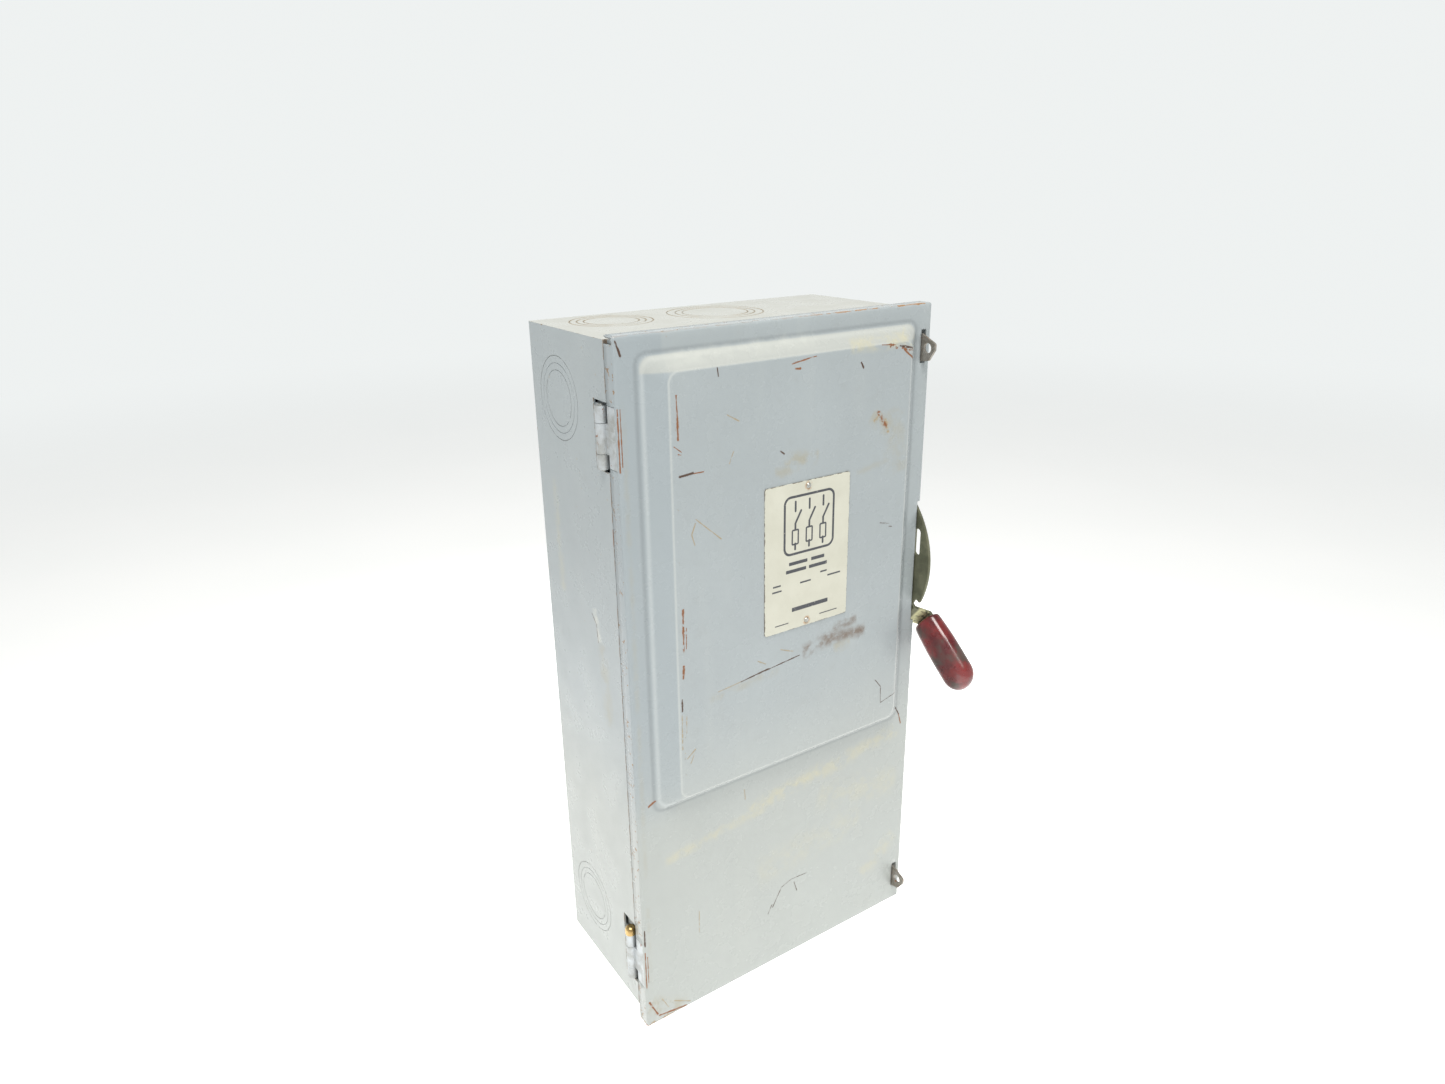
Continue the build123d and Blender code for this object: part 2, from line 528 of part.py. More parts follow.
def fuse(x):
    """A cartridge fuse: tube, end caps and knife blades."""
    z0, z1 = FUSE_Z
    with BuildPart() as cartridge:
        rod_z(x, FUSE_Y, z0, z1, FUSE_R - 0.8)
        for a, b in ((z0, z0 + CAP_H), (z1 - CAP_H, z1)):
            rod_z(x, FUSE_Y, a, b, FUSE_R)
        chamfer(cartridge.edges().group_by(Axis.Z)[0] + cartridge.edges().group_by(Axis.Z)[-1], 1.5)
        for a, b in ((z0 - KNIFE_L, z0), (z1, z1 + KNIFE_L)):
            slab(x - KNIFE_T / 2, x + KNIFE_T / 2, FUSE_Y - KNIFE_W / 2, FUSE_Y + KNIFE_W / 2, a, b)
    return cartridge


CHUTE_Z = (JAW_Z[0] + 2, BAR_Z + BLADE_R + 4)


def arc_chute(x):
    """An insulating hood around the jaw, open to the front and below for the blade."""
    with BuildPart() as chute:
        leaves(x, 16, 19, BAR_Y - 32, BASE_Y, *CHUTE_Z)
        slab(x - 19, x + 19, BAR_Y - 32, BASE_Y - STRAP_T - 0.3, CHUTE_Z[1], CHUTE_Z[1] + 2.5)
        for k in range(4):
            z = CHUTE_Z[0] + 3 + 6 * k
            leaves(x, 8, 16, BAR_Y - 28, BAR_Y + 16, z, z + 1.6)
    return chute


LUG_LINE_Z = JAW_Z[1] + 14
LUG_LOAD_Z = FUSE_Z[0] - 66
for n, x in enumerate(POLES, start=1):
    save(pole_blade(x), f"blade_{n}")
    save(line_terminal(x), f"line_terminal_{n}")
    save(load_terminal(x), f"load_terminal_{n}")
    save(fuse_clip_lower(x), f"fuse_clip_lower_{n}")
    save(lug(x, LUG_LINE_Z), f"line_lug_{n}")
    save(lug(x, LUG_LOAD_Z), f"load_lug_{n}")
    save(fuse(x), f"fuse_{n}")
    save(arc_chute(x), f"arc_chute_{n}")

with BuildPart() as lug_screws:
    front = BASE_Y - STRAP_T - LUG_D
    for x in POLES:
        for z in (LUG_LINE_Z + LUG_H / 2, LUG_LOAD_Z + LUG_H / 2):
            rod_y(x, z, front - 5, BASE_Y - STRAP_T - LUG_BORE_BACK - 0.5 - LUG_BORE_R, LUG_SCREW_R)
            with BuildSketch(Plane.XZ.offset(5 - front)):
                with Locations((x, z)):
                    RegularPolygon(3.0, 6)
            extrude(amount=-5, mode=Mode.SUBTRACT)
save(lug_screws, "lug_screws")

# ---- insulating bases ----
BASE_HALF = 110.0
BASE_SCREW_R, BASE_SCREW_HEAD_R = 3.1, 5.5


def insulating_base(z0, z1, screws):
    """A moulded block that stands on the back wall, with barriers between the poles."""
    with BuildPart() as base:
        slab(-BASE_HALF, BASE_HALF, BASE_Y, -SHEET, z0, z1)
        chamfer(base.faces().sort_by(Axis.Y)[0].edges(), 2)
        for x in (-35.0, 35.0):
            slab(x - 1.5, x + 1.5, BASE_Y - 16, BASE_Y, z0 + 6, z1 - 6)
            rod_x(x - 2, x + 2, BAR_Y, BAR_Z, BAR_SIDE * 0.8, mode=Mode.SUBTRACT)
        for sx, sz in screws:
            rod_y(sx, sz, BASE_Y - 1, -SHEET + 1, BASE_SCREW_R, mode=Mode.SUBTRACT)
    return base


SWITCH_BASE_Z = (FUSE_Z[1] - 8, LUG_LINE_Z + 40)
LOAD_BASE_Z = (LUG_LOAD_Z - 8, FUSE_Z[0] + 10)
SCREW_SPOTS = [(sx, sz) for sx in (-100.0, 100.0)
               for sz in (SWITCH_BASE_Z[0] + 12, SWITCH_BASE_Z[1] - 12,
                          LOAD_BASE_Z[0] + 12, LOAD_BASE_Z[1] - 12)]
save(insulating_base(*SWITCH_BASE_Z, SCREW_SPOTS[:2] + SCREW_SPOTS[4:6]), "switch_base")
save(insulating_base(*LOAD_BASE_Z, SCREW_SPOTS[2:4] + SCREW_SPOTS[6:8]), "load_base")

with BuildPart() as base_screws:
    for sx, sz in SCREW_SPOTS:
        rod_y(sx, sz, BASE_Y, -SHEET, BASE_SCREW_R)
        rod_y(sx, sz, BASE_Y - 4, BASE_Y, BASE_SCREW_HEAD_R)
save(base_screws, "base_screws")

# ---- guard over the line lugs ----
SHIELD_Y = BASE_Y - STRAP_T - LUG_D - 12
SHIELD_Z = (LUG_LINE_Z - 4, LUG_LINE_Z + 44)
POST_SPOTS = [(-92.0, LUG_LINE_Z + 8), (92.0, LUG_LINE_Z + 8)]
POST_R, POST_NECK_R = 5.0, 2.6
with BuildPart() as line_shield:
    slab(-100, 100, SHIELD_Y - 2, SHIELD_Y, *SHIELD_Z)
    for px, pz in POST_SPOTS:
        rod_y(px, pz, SHIELD_Y - 3, SHIELD_Y + 1, POST_NECK_R, mode=Mode.SUBTRACT)
save(line_shield, "line_shield")

with BuildPart() as shield_posts:
    for px, pz in POST_SPOTS:
        rod_y(px, pz, SHIELD_Y, BASE_Y, POST_R)
        rod_y(px, pz, SHIELD_Y - 2, SHIELD_Y, POST_NECK_R)
        rod_y(px, pz, SHIELD_Y - 5, SHIELD_Y - 2, POST_R)
save(shield_posts, "shield_posts")

# ---- ground bar at the lower left of the back wall ----
GROUND_Z = (-300.0, -230.0)
GROUND_HOLES_Z = [GROUND_Z[0] + 11 + 16 * k for k in range(4)]
GROUND_X, GROUND_WIRE_Y, GROUND_SCREW_R = -143.0, -13.0, 2.5
with BuildPart() as ground_bar:
    slab(-150, -136, -20, -SHEET, *GROUND_Z)
    for z in GROUND_HOLES_Z:
        rod_x(-151, -135, GROUND_WIRE_Y, z, 3.4, mode=Mode.SUBTRACT)
        rod_y(GROUND_X, z, -21, GROUND_WIRE_Y, GROUND_SCREW_R, mode=Mode.SUBTRACT)
save(ground_bar, "ground_bar")

with BuildPart() as ground_screws:
    for z in GROUND_HOLES_Z:
        rod_y(GROUND_X, z, -24, GROUND_WIRE_Y - 3.4, GROUND_SCREW_R)
        rod_y(GROUND_X, z, -27, -24, 4.5)
save(ground_screws, "ground_screws")
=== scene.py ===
"""Looks of the fusible safety switch: materials, detailed pieces, floor, lights and camera.

Places and sizes are millimetres in the row frame unless a line says metres.
"""
import json
from math import copysign, cos, pi, radians, sin, sqrt

import bpy
import numpy as np
from mathutils import Matrix, Vector


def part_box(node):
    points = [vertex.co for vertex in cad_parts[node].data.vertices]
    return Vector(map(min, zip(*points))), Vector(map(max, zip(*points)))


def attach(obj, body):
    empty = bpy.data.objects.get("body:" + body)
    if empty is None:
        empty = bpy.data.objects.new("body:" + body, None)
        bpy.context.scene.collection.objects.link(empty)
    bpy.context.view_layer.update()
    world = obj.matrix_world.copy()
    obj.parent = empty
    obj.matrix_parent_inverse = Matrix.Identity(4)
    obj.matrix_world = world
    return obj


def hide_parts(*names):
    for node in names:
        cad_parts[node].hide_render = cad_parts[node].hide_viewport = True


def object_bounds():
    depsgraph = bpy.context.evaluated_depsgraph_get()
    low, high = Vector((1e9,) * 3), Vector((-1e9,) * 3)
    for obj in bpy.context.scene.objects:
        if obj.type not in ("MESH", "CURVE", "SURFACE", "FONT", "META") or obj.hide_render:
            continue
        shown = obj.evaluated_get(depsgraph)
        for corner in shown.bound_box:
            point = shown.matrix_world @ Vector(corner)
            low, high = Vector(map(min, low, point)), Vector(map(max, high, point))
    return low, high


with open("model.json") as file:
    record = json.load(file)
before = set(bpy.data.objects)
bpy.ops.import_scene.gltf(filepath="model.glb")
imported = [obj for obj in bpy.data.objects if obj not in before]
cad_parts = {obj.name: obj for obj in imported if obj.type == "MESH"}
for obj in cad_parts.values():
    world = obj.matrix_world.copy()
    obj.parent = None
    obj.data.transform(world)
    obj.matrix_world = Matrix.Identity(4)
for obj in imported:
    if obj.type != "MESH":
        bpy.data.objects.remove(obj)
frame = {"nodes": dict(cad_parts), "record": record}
cad_low, cad_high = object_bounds()
nodes = frame["nodes"]
MM = 0.001

# ---- places of the CAD model: its own bounding boxes in metres, then the sizes it was built with ----
cover_low, cover_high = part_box("cover")
box_low, box_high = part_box("enclosure_box")
plate_low, plate_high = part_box("rating_plate")
SHEET = 2.0
PANEL_HEIGHT = 10.0
PANEL_BASE = (-144.0, 161.0, -103.0, 325.0)  # limits in x and z of the raised panel's foot
PANEL_TOP = (-121.0, 149.5, -94.0, 311.0)  # and of its flat top
PANEL_R = 10.0
HINGE_AXIS = (-164.5, -135.0)
HINGE_SLOTS_Z = ((227.4, 287.4), (-311.1, -238.1))  # the slots in the left wall that the hinges stand in
HINGE_SLOT_Y, HINGE_SLOT_WIDTH = -134.0, 24.0
TOP_KNOCKOUTS = (((-105.8, -49.0), (25.2, 31.4, 37.9)), ((0.5, -57.0), (31.4, 37.9, 46.0)))
SIDE_KNOCKOUTS = (((-53.0, -266.4), (25.2, 37.9)), ((-54.0, 275.9), (25.2, 37.9)))  # their dark rings only
KNOCKOUT_CUT = 0.2  # a ring's line lies this far inside its radius
FUSE_MIDDLE_Z, FUSE_HALF, FUSE_CAP = -104.0, 87.0, 16.0
PLATE_SIZE, PLATE_R, PLATE_RIVET_Z = (100.0, 146.0), 2.5, 68.0


def rectangle(x0, x1, z0, z1):
    """Centre and size of a rectangle given by its limits."""
    return ((x0 + x1) / 2, (z0 + z1) / 2), (x1 - x0, z1 - z0)


def front_limits(low, high):
    """Limits in x and z, in millimetres, of a bounding box in metres."""
    return low.x / MM, high.x / MM, low.z / MM, high.z / MM


# ---------------------------------------------------------------- shader toolkit
class Shader:
    """One material's node tree, with short calls for the nodes it is made of."""

    def __init__(self, name, **surface):
        self.material = bpy.data.materials.new(name)
        self.material.use_nodes = True
        self.tree = self.material.node_tree
        self.tree.nodes.clear()
        self.surface = self.node("ShaderNodeBsdfPrincipled")
        self.output = self.node("ShaderNodeOutputMaterial")
        self.tree.links.new(self.surface.outputs[0], self.output.inputs["Surface"])
        self.point = self.node("ShaderNodeTexCoord").outputs["Object"]
        split = self.node("ShaderNodeSeparateXYZ")
        self.put(split.inputs[0], self.point)
        self.x, self.y, self.z = split.outputs
        self.axes = {"x": self.x, "y": self.y, "z": self.z}
        for socket, value in surface.items():
            self.put(self.surface.inputs[socket.replace("_", " ")], value)

    def node(self, kind):
        return self.tree.nodes.new(kind)

    def put(self, socket, value):
        if isinstance(value, bpy.types.NodeSocket):
            self.tree.links.new(value, socket)
        else:
            socket.default_value = value

    def math(self, operation, a, b=0.0, c=0.0, clamp=False):
        node = self.node("ShaderNodeMath")
        node.operation, node.use_clamp = operation, clamp
        for socket, value in zip(node.inputs, (a, b, c)):
            self.put(socket, value)
        return node.outputs[0]

    def add(self, a, b):
        return self.math("ADD", a, b)

    def take(self, a, b):
        return self.math("SUBTRACT", a, b)

    def times(self, a, *others):
        for b in others:
            a = self.math("MULTIPLY", a, b)
        return a

    def most(self, first, *others):
        for other in others:
            first = self.math("MAXIMUM", first, other)
        return first

    def least(self, first, *others):
        for other in others:
            first = self.math("MINIMUM", first, other)
        return first

    def gap(self, a, b):
        """How far apart two values are."""
        return self.math("ABSOLUTE", self.take(a, b))

    def length(self, u, v):
        return self.math("SQRT", self.add(self.times(u, u), self.times(v, v)))

    def ramp(self, value, low, high, to_low=0.0, to_high=1.0, smooth=True):
        """value mapped from low..high, smoothly and held at both ends; low may be the larger."""
        node = self.node("ShaderNodeMapRange")
        node.interpolation_type = "SMOOTHSTEP" if smooth else "LINEAR"
        if low > high:
            low, high, to_low, to_high = high, low, to_high, to_low
        for socket, item in zip(("Value", "From Min", "From Max", "To Min", "To Max"),
                                (value, low, high, to_low, to_high)):
            self.put(node.inputs[socket], item)
        return node.outputs[0]

    def fade(self, metres, off, on):
        """0 at the place off and 1 at the place on, both given in millimetres."""
        return self.ramp(metres, off * MM, on * MM)

    def noise(self, scale, detail, rough, stretch=None, shift=0.0):
        """Noise from 0 to 1 with scale features a metre; shift picks another sample of it."""
        node = self.node("ShaderNodeTexNoise")
        node.noise_dimensions = "4D"
        vector = self.point
        if stretch:
            scaled = self.node("ShaderNodeVectorMath")
            scaled.operation = "MULTIPLY"
            self.put(scaled.inputs[0], self.point)
            scaled.inputs[1].default_value = stretch
            vector = scaled.outputs[0]
        self.put(node.inputs["Vector"], vector)
        for socket, value in (("W", shift), ("Scale", scale), ("Detail", detail), ("Roughness", rough)):
            node.inputs[socket].default_value = value
        return node.outputs["Fac"]

    def mix(self, share, a, b):
        node = self.node("ShaderNodeMix")
        node.data_type = "RGBA"
        self.put(node.inputs["Factor"], share)
        for socket, value in zip((node.inputs[6], node.inputs[7]), (a, b)):
            self.put(socket, (*value, 1.0) if isinstance(value, tuple) else value)
        return node.outputs[2]

    def glaze(self, colour, tone, share, *masks):
        """A tone laid over a colour where all the masks are 1, covering the share of it."""
        return self.mix(self.times(*masks, share), colour, tone)

    def line(self, a, b, plane="xz"):
        """Distance in metres from a line between two points, and the way along it from 0 to 1."""
        u, v = self.axes[plane[0]], self.axes[plane[1]]
        au, av, bu, bv = (k * MM for k in (*a, b[0] - a[0], b[1] - a[1]))
        square = bu * bu + bv * bv
        along = self.math("MULTIPLY_ADD", u, bu / square, -(au * bu + av * bv) / square)
        along = self.math("MULTIPLY_ADD", v, bv / square, along, clamp=True)
        du = self.take(self.math("MULTIPLY_ADD", along, -bu, u), au)
        dv = self.take(self.math("MULTIPLY_ADD", along, -bv, v), av)
        return self.math("SQRT", self.math("MULTIPLY_ADD", dv, dv, self.times(du, du))), along

    def box(self, centre, size, radius=0.0, plane="xz"):
        """Distance in metres from a rounded rectangle, negative inside it."""
        away = []
        for axis, c, s in zip(plane, centre, size):
            away.append(self.take(self.gap(self.axes[axis], c * MM), (s / 2 - radius) * MM))
        outside = self.math("SQRT", self.add(
            self.math("POWER", self.most(away[0], 0.0), 2.0),
            self.math("POWER", self.most(away[1], 0.0), 2.0)))
        inside = self.least(self.most(*away), 0.0)
        return self.take(self.add(outside, inside), radius * MM)

    def depth_inside(self, centre, size, radius=0.0):
        """Distance in metres inwards from a rounded rectangle's outline."""
        return self.times(self.box(centre, size, radius), -1.0)

    def ring(self, centre, radius, plane):
        """Distance in metres from a circle's line."""
        du, dv = (self.take(self.axes[axis], c * MM) for axis, c in zip(plane, centre))
        return self.gap(self.length(du, dv), radius * MM)

    def bump(self, height, depth):
        node = self.node("ShaderNodeBump")
        node.inputs["Distance"].default_value = depth * MM
        self.put(node.inputs["Height"], height)
        return node.outputs[0]

    def finish(self, colour, rough=None, normal=None, metal=None):
        self.put(self.surface.inputs["Base Color"], colour)
        for name, value in (("Roughness", rough), ("Normal", normal), ("Metallic", metal)):
            if value is not None:
                self.put(self.surface.inputs[name], value)
        return self.material


def scaled(colour, factor):
    return tuple(min(1.0, c * factor) for c in colour)


# ---------------------------------------------------------------- enamel
PAINT = (0.335, 0.368, 0.380)
PAINT_PALE = (0.45, 0.475, 0.455)
LOWER_BOUNCE_PAINTED_LIGHT = (0.44, 0.445, 0.395)
LOWER_BOUNCE_Z = (20.0, -160.0)  # from where the painted light of the floor's bounce starts downwards, and where it is full
HINGE_SIDE_PAINTED_SHADE = (0.275, 0.317, 0.345)  # painted shade: the cover is drawn a little darker along its hinge side
# Painted light: the raised panel's top slope is drawn paler and warmer, as lit from above.
TOP_SLOPE_PAINTED_LIGHT = (0.50, 0.495, 0.44)
# Painted light: the box's top is drawn paler and warmer, as lit from above.
BOX_TOP_PAINTED_LIGHT = (0.49, 0.475, 0.41)
RING_RUST, SIDE_RING_DARK = (0.27, 0.20, 0.10), (0.15, 0.145, 0.12)
DIRT = (0.20, 0.19, 0.16)
RUST = (0.22, 0.085, 0.03)
COPPER, DULL_COPPER = (0.58, 0.36, 0.23), (0.36, 0.21, 0.13)
# Colours of the marks, in the order in which they lie over one another.
MARK_COLOURS = {"cream": (0.50, 0.47, 0.33), "chalk": (0.55, 0.56, 0.52), "dirt_pale": (0.34, 0.325, 0.26),
                "dirt": (0.17, 0.135, 0.11), "tan": (0.34, 0.28, 0.19), "orange": (0.33, 0.17, 0.07),
                "brown": (0.24, 0.15, 0.08), "rust": RUST, "dark": (0.07, 0.035, 0.02)}
# Painted shade and highlights along the raised panel's lines: its outline, how far inside it, half width,
# share and colour.
PANEL_SHADE_AND_HIGHLIGHT_LINES = [
    (PANEL_BASE, -1.5, 3.5, 0.42, (0.17, 0.19, 0.20)),  # painted shade in the crease at its foot
    (PANEL_BASE, 3.5, 3.0, 0.40, (0.52, 0.55, 0.55)),  # painted highlight on the slope's lower part
    (PANEL_TOP, 0.5, 1.8, 0.50, (0.52, 0.54, 0.52)),  # painted highlight along its edge, where the paint is also rubbed pale
]


def orange_peel(s):
    return s.noise(700.0, 2.0, 0.5, shift=2.0)


def gloss(s, low, high, shift=7.0):
    """Roughness of the enamel, drifting between two values."""
    return s.ramp(s.noise(35.0, 4.0, 0.6, shift=shift), 0.3, 0.7, low, high)


def paint_base(s):
    """Colour of old grey enamel: mottled, a little streaky, with painted light from the floor's bounce making
    it paler and warmer towards the foot.
    """
    cloud = s.noise(9.0, 4.0, 0.6)
    streak = s.noise(26.0, 4.0, 0.6, stretch=(1.0, 1.0, 0.12), shift=3.0)
    grime = s.noise(60.0, 5.0, 0.65, shift=8.0)
    speck = s.noise(420.0, 2.0, 0.5, shift=5.0)
    colour = s.mix(s.ramp(cloud, 0.35, 0.7), PAINT, scaled(PAINT, 1.05))
    colour = s.glaze(colour, PAINT_PALE, 0.22, s.ramp(streak, 0.45, 0.8))
    colour = s.glaze(colour, DIRT, 0.14, s.ramp(grime, 0.52, 0.85))
    colour = s.glaze(colour, DIRT, 0.35, s.ramp(speck, 0.70, 0.80))
    # painted light: paler and warmer towards the foot, where the white floor's bounce falls
    return s.glaze(colour, LOWER_BOUNCE_PAINTED_LIGHT, 0.45, s.fade(s.z, *LOWER_BOUNCE_Z))


class Marks:
    """Scratches, stains and chips gathered by kind, then laid over a colour."""

    def __init__(self, s, plane="xz"):
        self.s, self.plane, self.kinds = s, plane, {}
        self.wander = s.take(s.noise(130.0, 3.0, 0.6, shift=1.3), 0.5)
        self.broken = s.noise(240.0, 2.0, 0.6, shift=2.7)
        self.mottle = s.noise(75.0, 5.0, 0.65, shift=4.1)

    def put(self, mask, kind):
        held = self.kinds.get(kind)
        self.kinds[kind] = mask if held is None else self.s.most(held, mask)

    def ragged(self, distance, width, share):
        """A distance that wanders by a share of the mark's width, so its sides aren't straight."""
        return self.s.math("MULTIPLY_ADD", self.wander, width * MM * share, distance)

    def scratch(self, a, b, width, gaps, kind, *within):
        """A scratch between two points; gaps is the share left out, and within are masks that bound it."""
        s = self.s
        distance, _ = s.line(a, b, self.plane)
        mask = s.fade(self.ragged(distance, width, 2.4), width, width * 0.35)
        self.put(s.times(mask, s.ramp(self.broken, gaps - 0.08, gaps + 0.05), *within), kind)

    def smear(self, a, b, width, strength, kind, *within):
        """A soft stain along a line between two points, fading at both ends."""
        s = self.s
        distance, along = s.line(a, b, self.plane)
        mask = s.fade(self.ragged(distance, width, 1.2), width, 0.0)
        ends = s.ramp(s.math("PINGPONG", along, 0.5), 0.0, 0.08)
        self.put(s.times(mask, s.ramp(self.mottle, 0.36, 0.60), strength, ends, *within), kind)

    def over(self, colour):
        for kind, tone in MARK_COLOURS.items():
            if kind in self.kinds:
                colour = self.s.mix(self.kinds[kind], colour, tone)
        return colour


def chips(s, near, reach, amount, scale, seed):
    """Paint chips where the distance near is small, fewer as it nears reach. amount is 0 to 1."""
    field = s.noise(scale, 4.0, 0.7, shift=seed)
    level = s.ramp(near, 0.0, reach * MM, 0.72 - 0.28 * amount, 0.95, smooth=False)
    return s.ramp(s.take(field, level), 0.0, 0.02)


# Scratches of the cover's front by kind: x and z of both ends, width, and how broken.
FRONT_SCRATCHES = {
    "rust": [
        (-114.1, 291.0, -113.4, 272.0, 0.9, 0.14), (-113.4, 272.0, -113.3, 254.0, 1.4, 0.19),
        (-117.5, 248.5, -110.5, 243.0, 0.8, 0.29), (-113.5, 241.5, -111.0, 240.5, 0.9, 0.29),
        (-103.0, 222.6, -89.0, 222.4, 0.7, 0.34), (-113.6, 100.0, -113.9, 60.0, 1.5, 0.44),
        (-110.6, 82.0, -111.2, 62.0, 0.9, 0.44), (-114.5, 45.0, -115.2, 33.0, 1.4, 0.4),
        (5.0, 303.5, 24.0, 306.5, 0.9, 0.34), (22.0, 306.5, 32.0, 307.5, 0.7, 0.29),
        (9.0, 299.0, 14.0, 298.5, 1.3, 0.34), (110.0, 309.5, 124.0, 308.5, 0.9, 0.39),
        (140.0, 301.0, 151.0, 293.0, 1.4, 0.41), (109.0, 246.0, 118.0, 232.0, 3.2, 0.49),
        (-151.5, -95.0, -144.5, -91.5, 1.6, 0.29), (167.0, -103.0, 170.5, -116.0, 1.0, 0.3),
        (-163.0, 284.0, -163.0, 232.0, 0.8, 0.3), (-160.6, 284.0, -160.6, 236.0, 0.6, 0.34),
        (-163.0, -262.0, -163.0, -306.0, 0.8, 0.3), (-160.6, -268.0, -160.6, -300.0, 0.6, 0.36),
        (-161.0, -326.0, -152.0, -346.0, 1.3, 0.34), (-150.0, -349.0, -118.0, -354.0, 1.3, 0.32),
    ],
    "dark": [
        (-113.0, 222.0, -100.0, 223.0, 1.5, 0.24), (-73.5, 309.0, -72.5, 302.0, 0.8, 0.29),
        (-117.0, 12.0, -117.5, 0.0, 1.3, 0.34), (-52.0, 10.0, -20.0, 14.0, 0.9, 0.36),
        (-24.0, 13.0, 18.0, 17.5, 0.8, 0.36), (133.0, 306.5, 149.0, 303.0, 1.2, 0.39),
        (-7.0, 227.0, -3.0, 224.0, 1.3, 0.34), (85.0, 296.0, 88.0, 291.0, 1.2, 0.34),
        (117.0, 134.0, 129.0, 131.0, 0.6, 0.36), (129.0, 128.0, 133.0, 127.0, 0.6, 0.36),
        (-6.0, -283.0, 6.0, -262.0, 0.55, 0.34), (6.0, -262.0, 20.0, -257.5, 0.6, 0.3),
        (20.0, -257.5, 40.0, -259.0, 0.5, 0.32), (23.0, -263.0, 27.0, -276.0, 0.5, 0.34),
        (-12.0, -289.0, -7.0, -279.0, 0.5, 0.36), (-162.6, -235.0, -162.6, -254.0, 1.0, 0.24),
        (161.5, -93.5, 167.0, -103.0, 1.0, 0.32), (120.0, -42.0, 128.0, -52.0, 0.5, 0.36),
        (128.0, -52.0, 129.0, -72.0, 0.5, 0.36), (129.0, -72.0, 160.0, -64.0, 0.5, 0.39),
        (-162.0, 338.0, -158.0, 326.0, 1.2, 0.34),
    ],
    "tan": [
        (-98.0, 181.5, -72.0, 158.0, 0.7, 0.39), (-98.5, 178.0, -102.5, 168.0, 0.7, 0.36),
        (-102.5, 168.0, -99.5, 158.0, 0.7, 0.36), (-58.0, 235.0, -62.5, 225.0, 0.6, 0.39),
        (-64.0, 268.0, -52.0, 261.0, 0.7, 0.39), (-117.8, -4.0, -118.2, -40.0, 0.7, 0.44),
        (-113.0, -6.0, -113.4, -24.0, 0.6, 0.44), (-113.5, -51.5, -104.5, -44.5, 1.0, 0.36),
        (-110.0, -58.0, -106.0, -50.0, 0.7, 0.39), (-78.0, 7.5, -48.0, 10.5, 0.7, 0.34),
        (-32.0, 25.5, -23.0, 20.0, 0.8, 0.36), (-5.0, 30.0, 10.0, 24.0, 0.6, 0.39),
        (104.0, 239.0, 112.0, 244.0, 2.4, 0.49), (118.0, 240.0, 122.0, 226.0, 2.2, 0.49),
        (-99.0, -242.0, -99.5, -268.0, 0.6, 0.39), (-42.0, -119.0, -41.0, -131.0, 0.6, 0.39),
        (-146.0, -330.0, -139.0, -344.0, 0.8, 0.38), (-132.0, -340.0, -113.0, -351.0, 0.8, 0.36),
    ],
}
# Soft stains of the front by kind: x and z of both ends, half width, and strength.
FRONT_SMEARS = {
    "cream": [
        (-140.0, -165.0, -10.0, -150.0, 9.0, 0.5), (-40.0, -147.0, 60.0, -134.0, 14.0, 0.62),
        (40.0, -139.0, 172.0, -122.0, 15.0, 0.48), (50.0, -166.0, 172.0, -190.0, 26.0, 0.3),
        (-30.0, -230.0, 120.0, -215.0, 30.0, 0.22), (70.0, 312.0, 150.0, 312.0, 10.0, 0.65),
        (138.0, 318.0, 156.0, 300.0, 10.0, 0.8), (120.0, -300.0, 172.0, -262.0, 18.0, 0.35),
    ],
    "dirt_pale": [
        (-4.0, 218.0, 38.0, 214.0, 11.0, 0.8), (-14.0, 206.0, 16.0, 211.0, 8.0, 0.6),
        (60.0, 12.0, 84.0, 14.0, 9.0, 0.7), (-90.0, 2.0, -4.0, 10.0, 7.0, 0.45),
        (125.0, 250.0, 142.0, 180.0, 22.0, 0.45), (100.0, 246.0, 126.0, 228.0, 15.0, 0.65),
        (-162.0, -330.0, -118.0, -353.0, 15.0, 0.75), (82.0, 190.0, 128.0, 198.0, 5.0, 0.4),
        (-158.0, 300.0, -158.0, -330.0, 4.0, 0.3),
    ],
    "dirt": [
        (20.0, 18.0, 62.0, 27.0, 12.0, 1.0), (48.0, 26.0, 104.0, 22.0, 10.0, 1.0),
        (56.0, 34.0, 92.0, 37.0, 8.0, 0.85),
    ],
    "chalk": [
        (-118.0, 320.0, 40.0, 322.0, 9.0, 0.35),
    ],
}


def panel_light_and_shade(s, colour):
    """Painted light and shade that follow the cover's shape: painted shade beside the hinges, painted shade
    and highlights on the raised panel's lines, and painted light on its top slope.
    """
    # painted shade along the hinge side, above the lower part
    colour = s.glaze(colour, HINGE_SIDE_PAINTED_SHADE, 0.42, s.fade(s.x, -119.0, -122.0), s.fade(s.z, -130.0, -70.0))
    for limits, inset, reach, share, tone in PANEL_SHADE_AND_HIGHLIGHT_LINES:
        centre, (width, height) = rectangle(*limits)
        outline = s.box(centre, (width - 2 * inset, height - 2 * inset), PANEL_R)
        colour = s.glaze(colour, tone, share, s.fade(s.math("ABSOLUTE", outline), reach, 0.0))
    # painted light on the raised panel's top slope
    raised = s.fade(s.y, cover_low.y / MM + 9.6, cover_low.y / MM + 8.6)
    return s.glaze(colour, TOP_SLOPE_PAINTED_LIGHT, 0.5, s.fade(s.z, 309.0, 311.5), s.fade(s.z, 326.5, 324.0), raised)


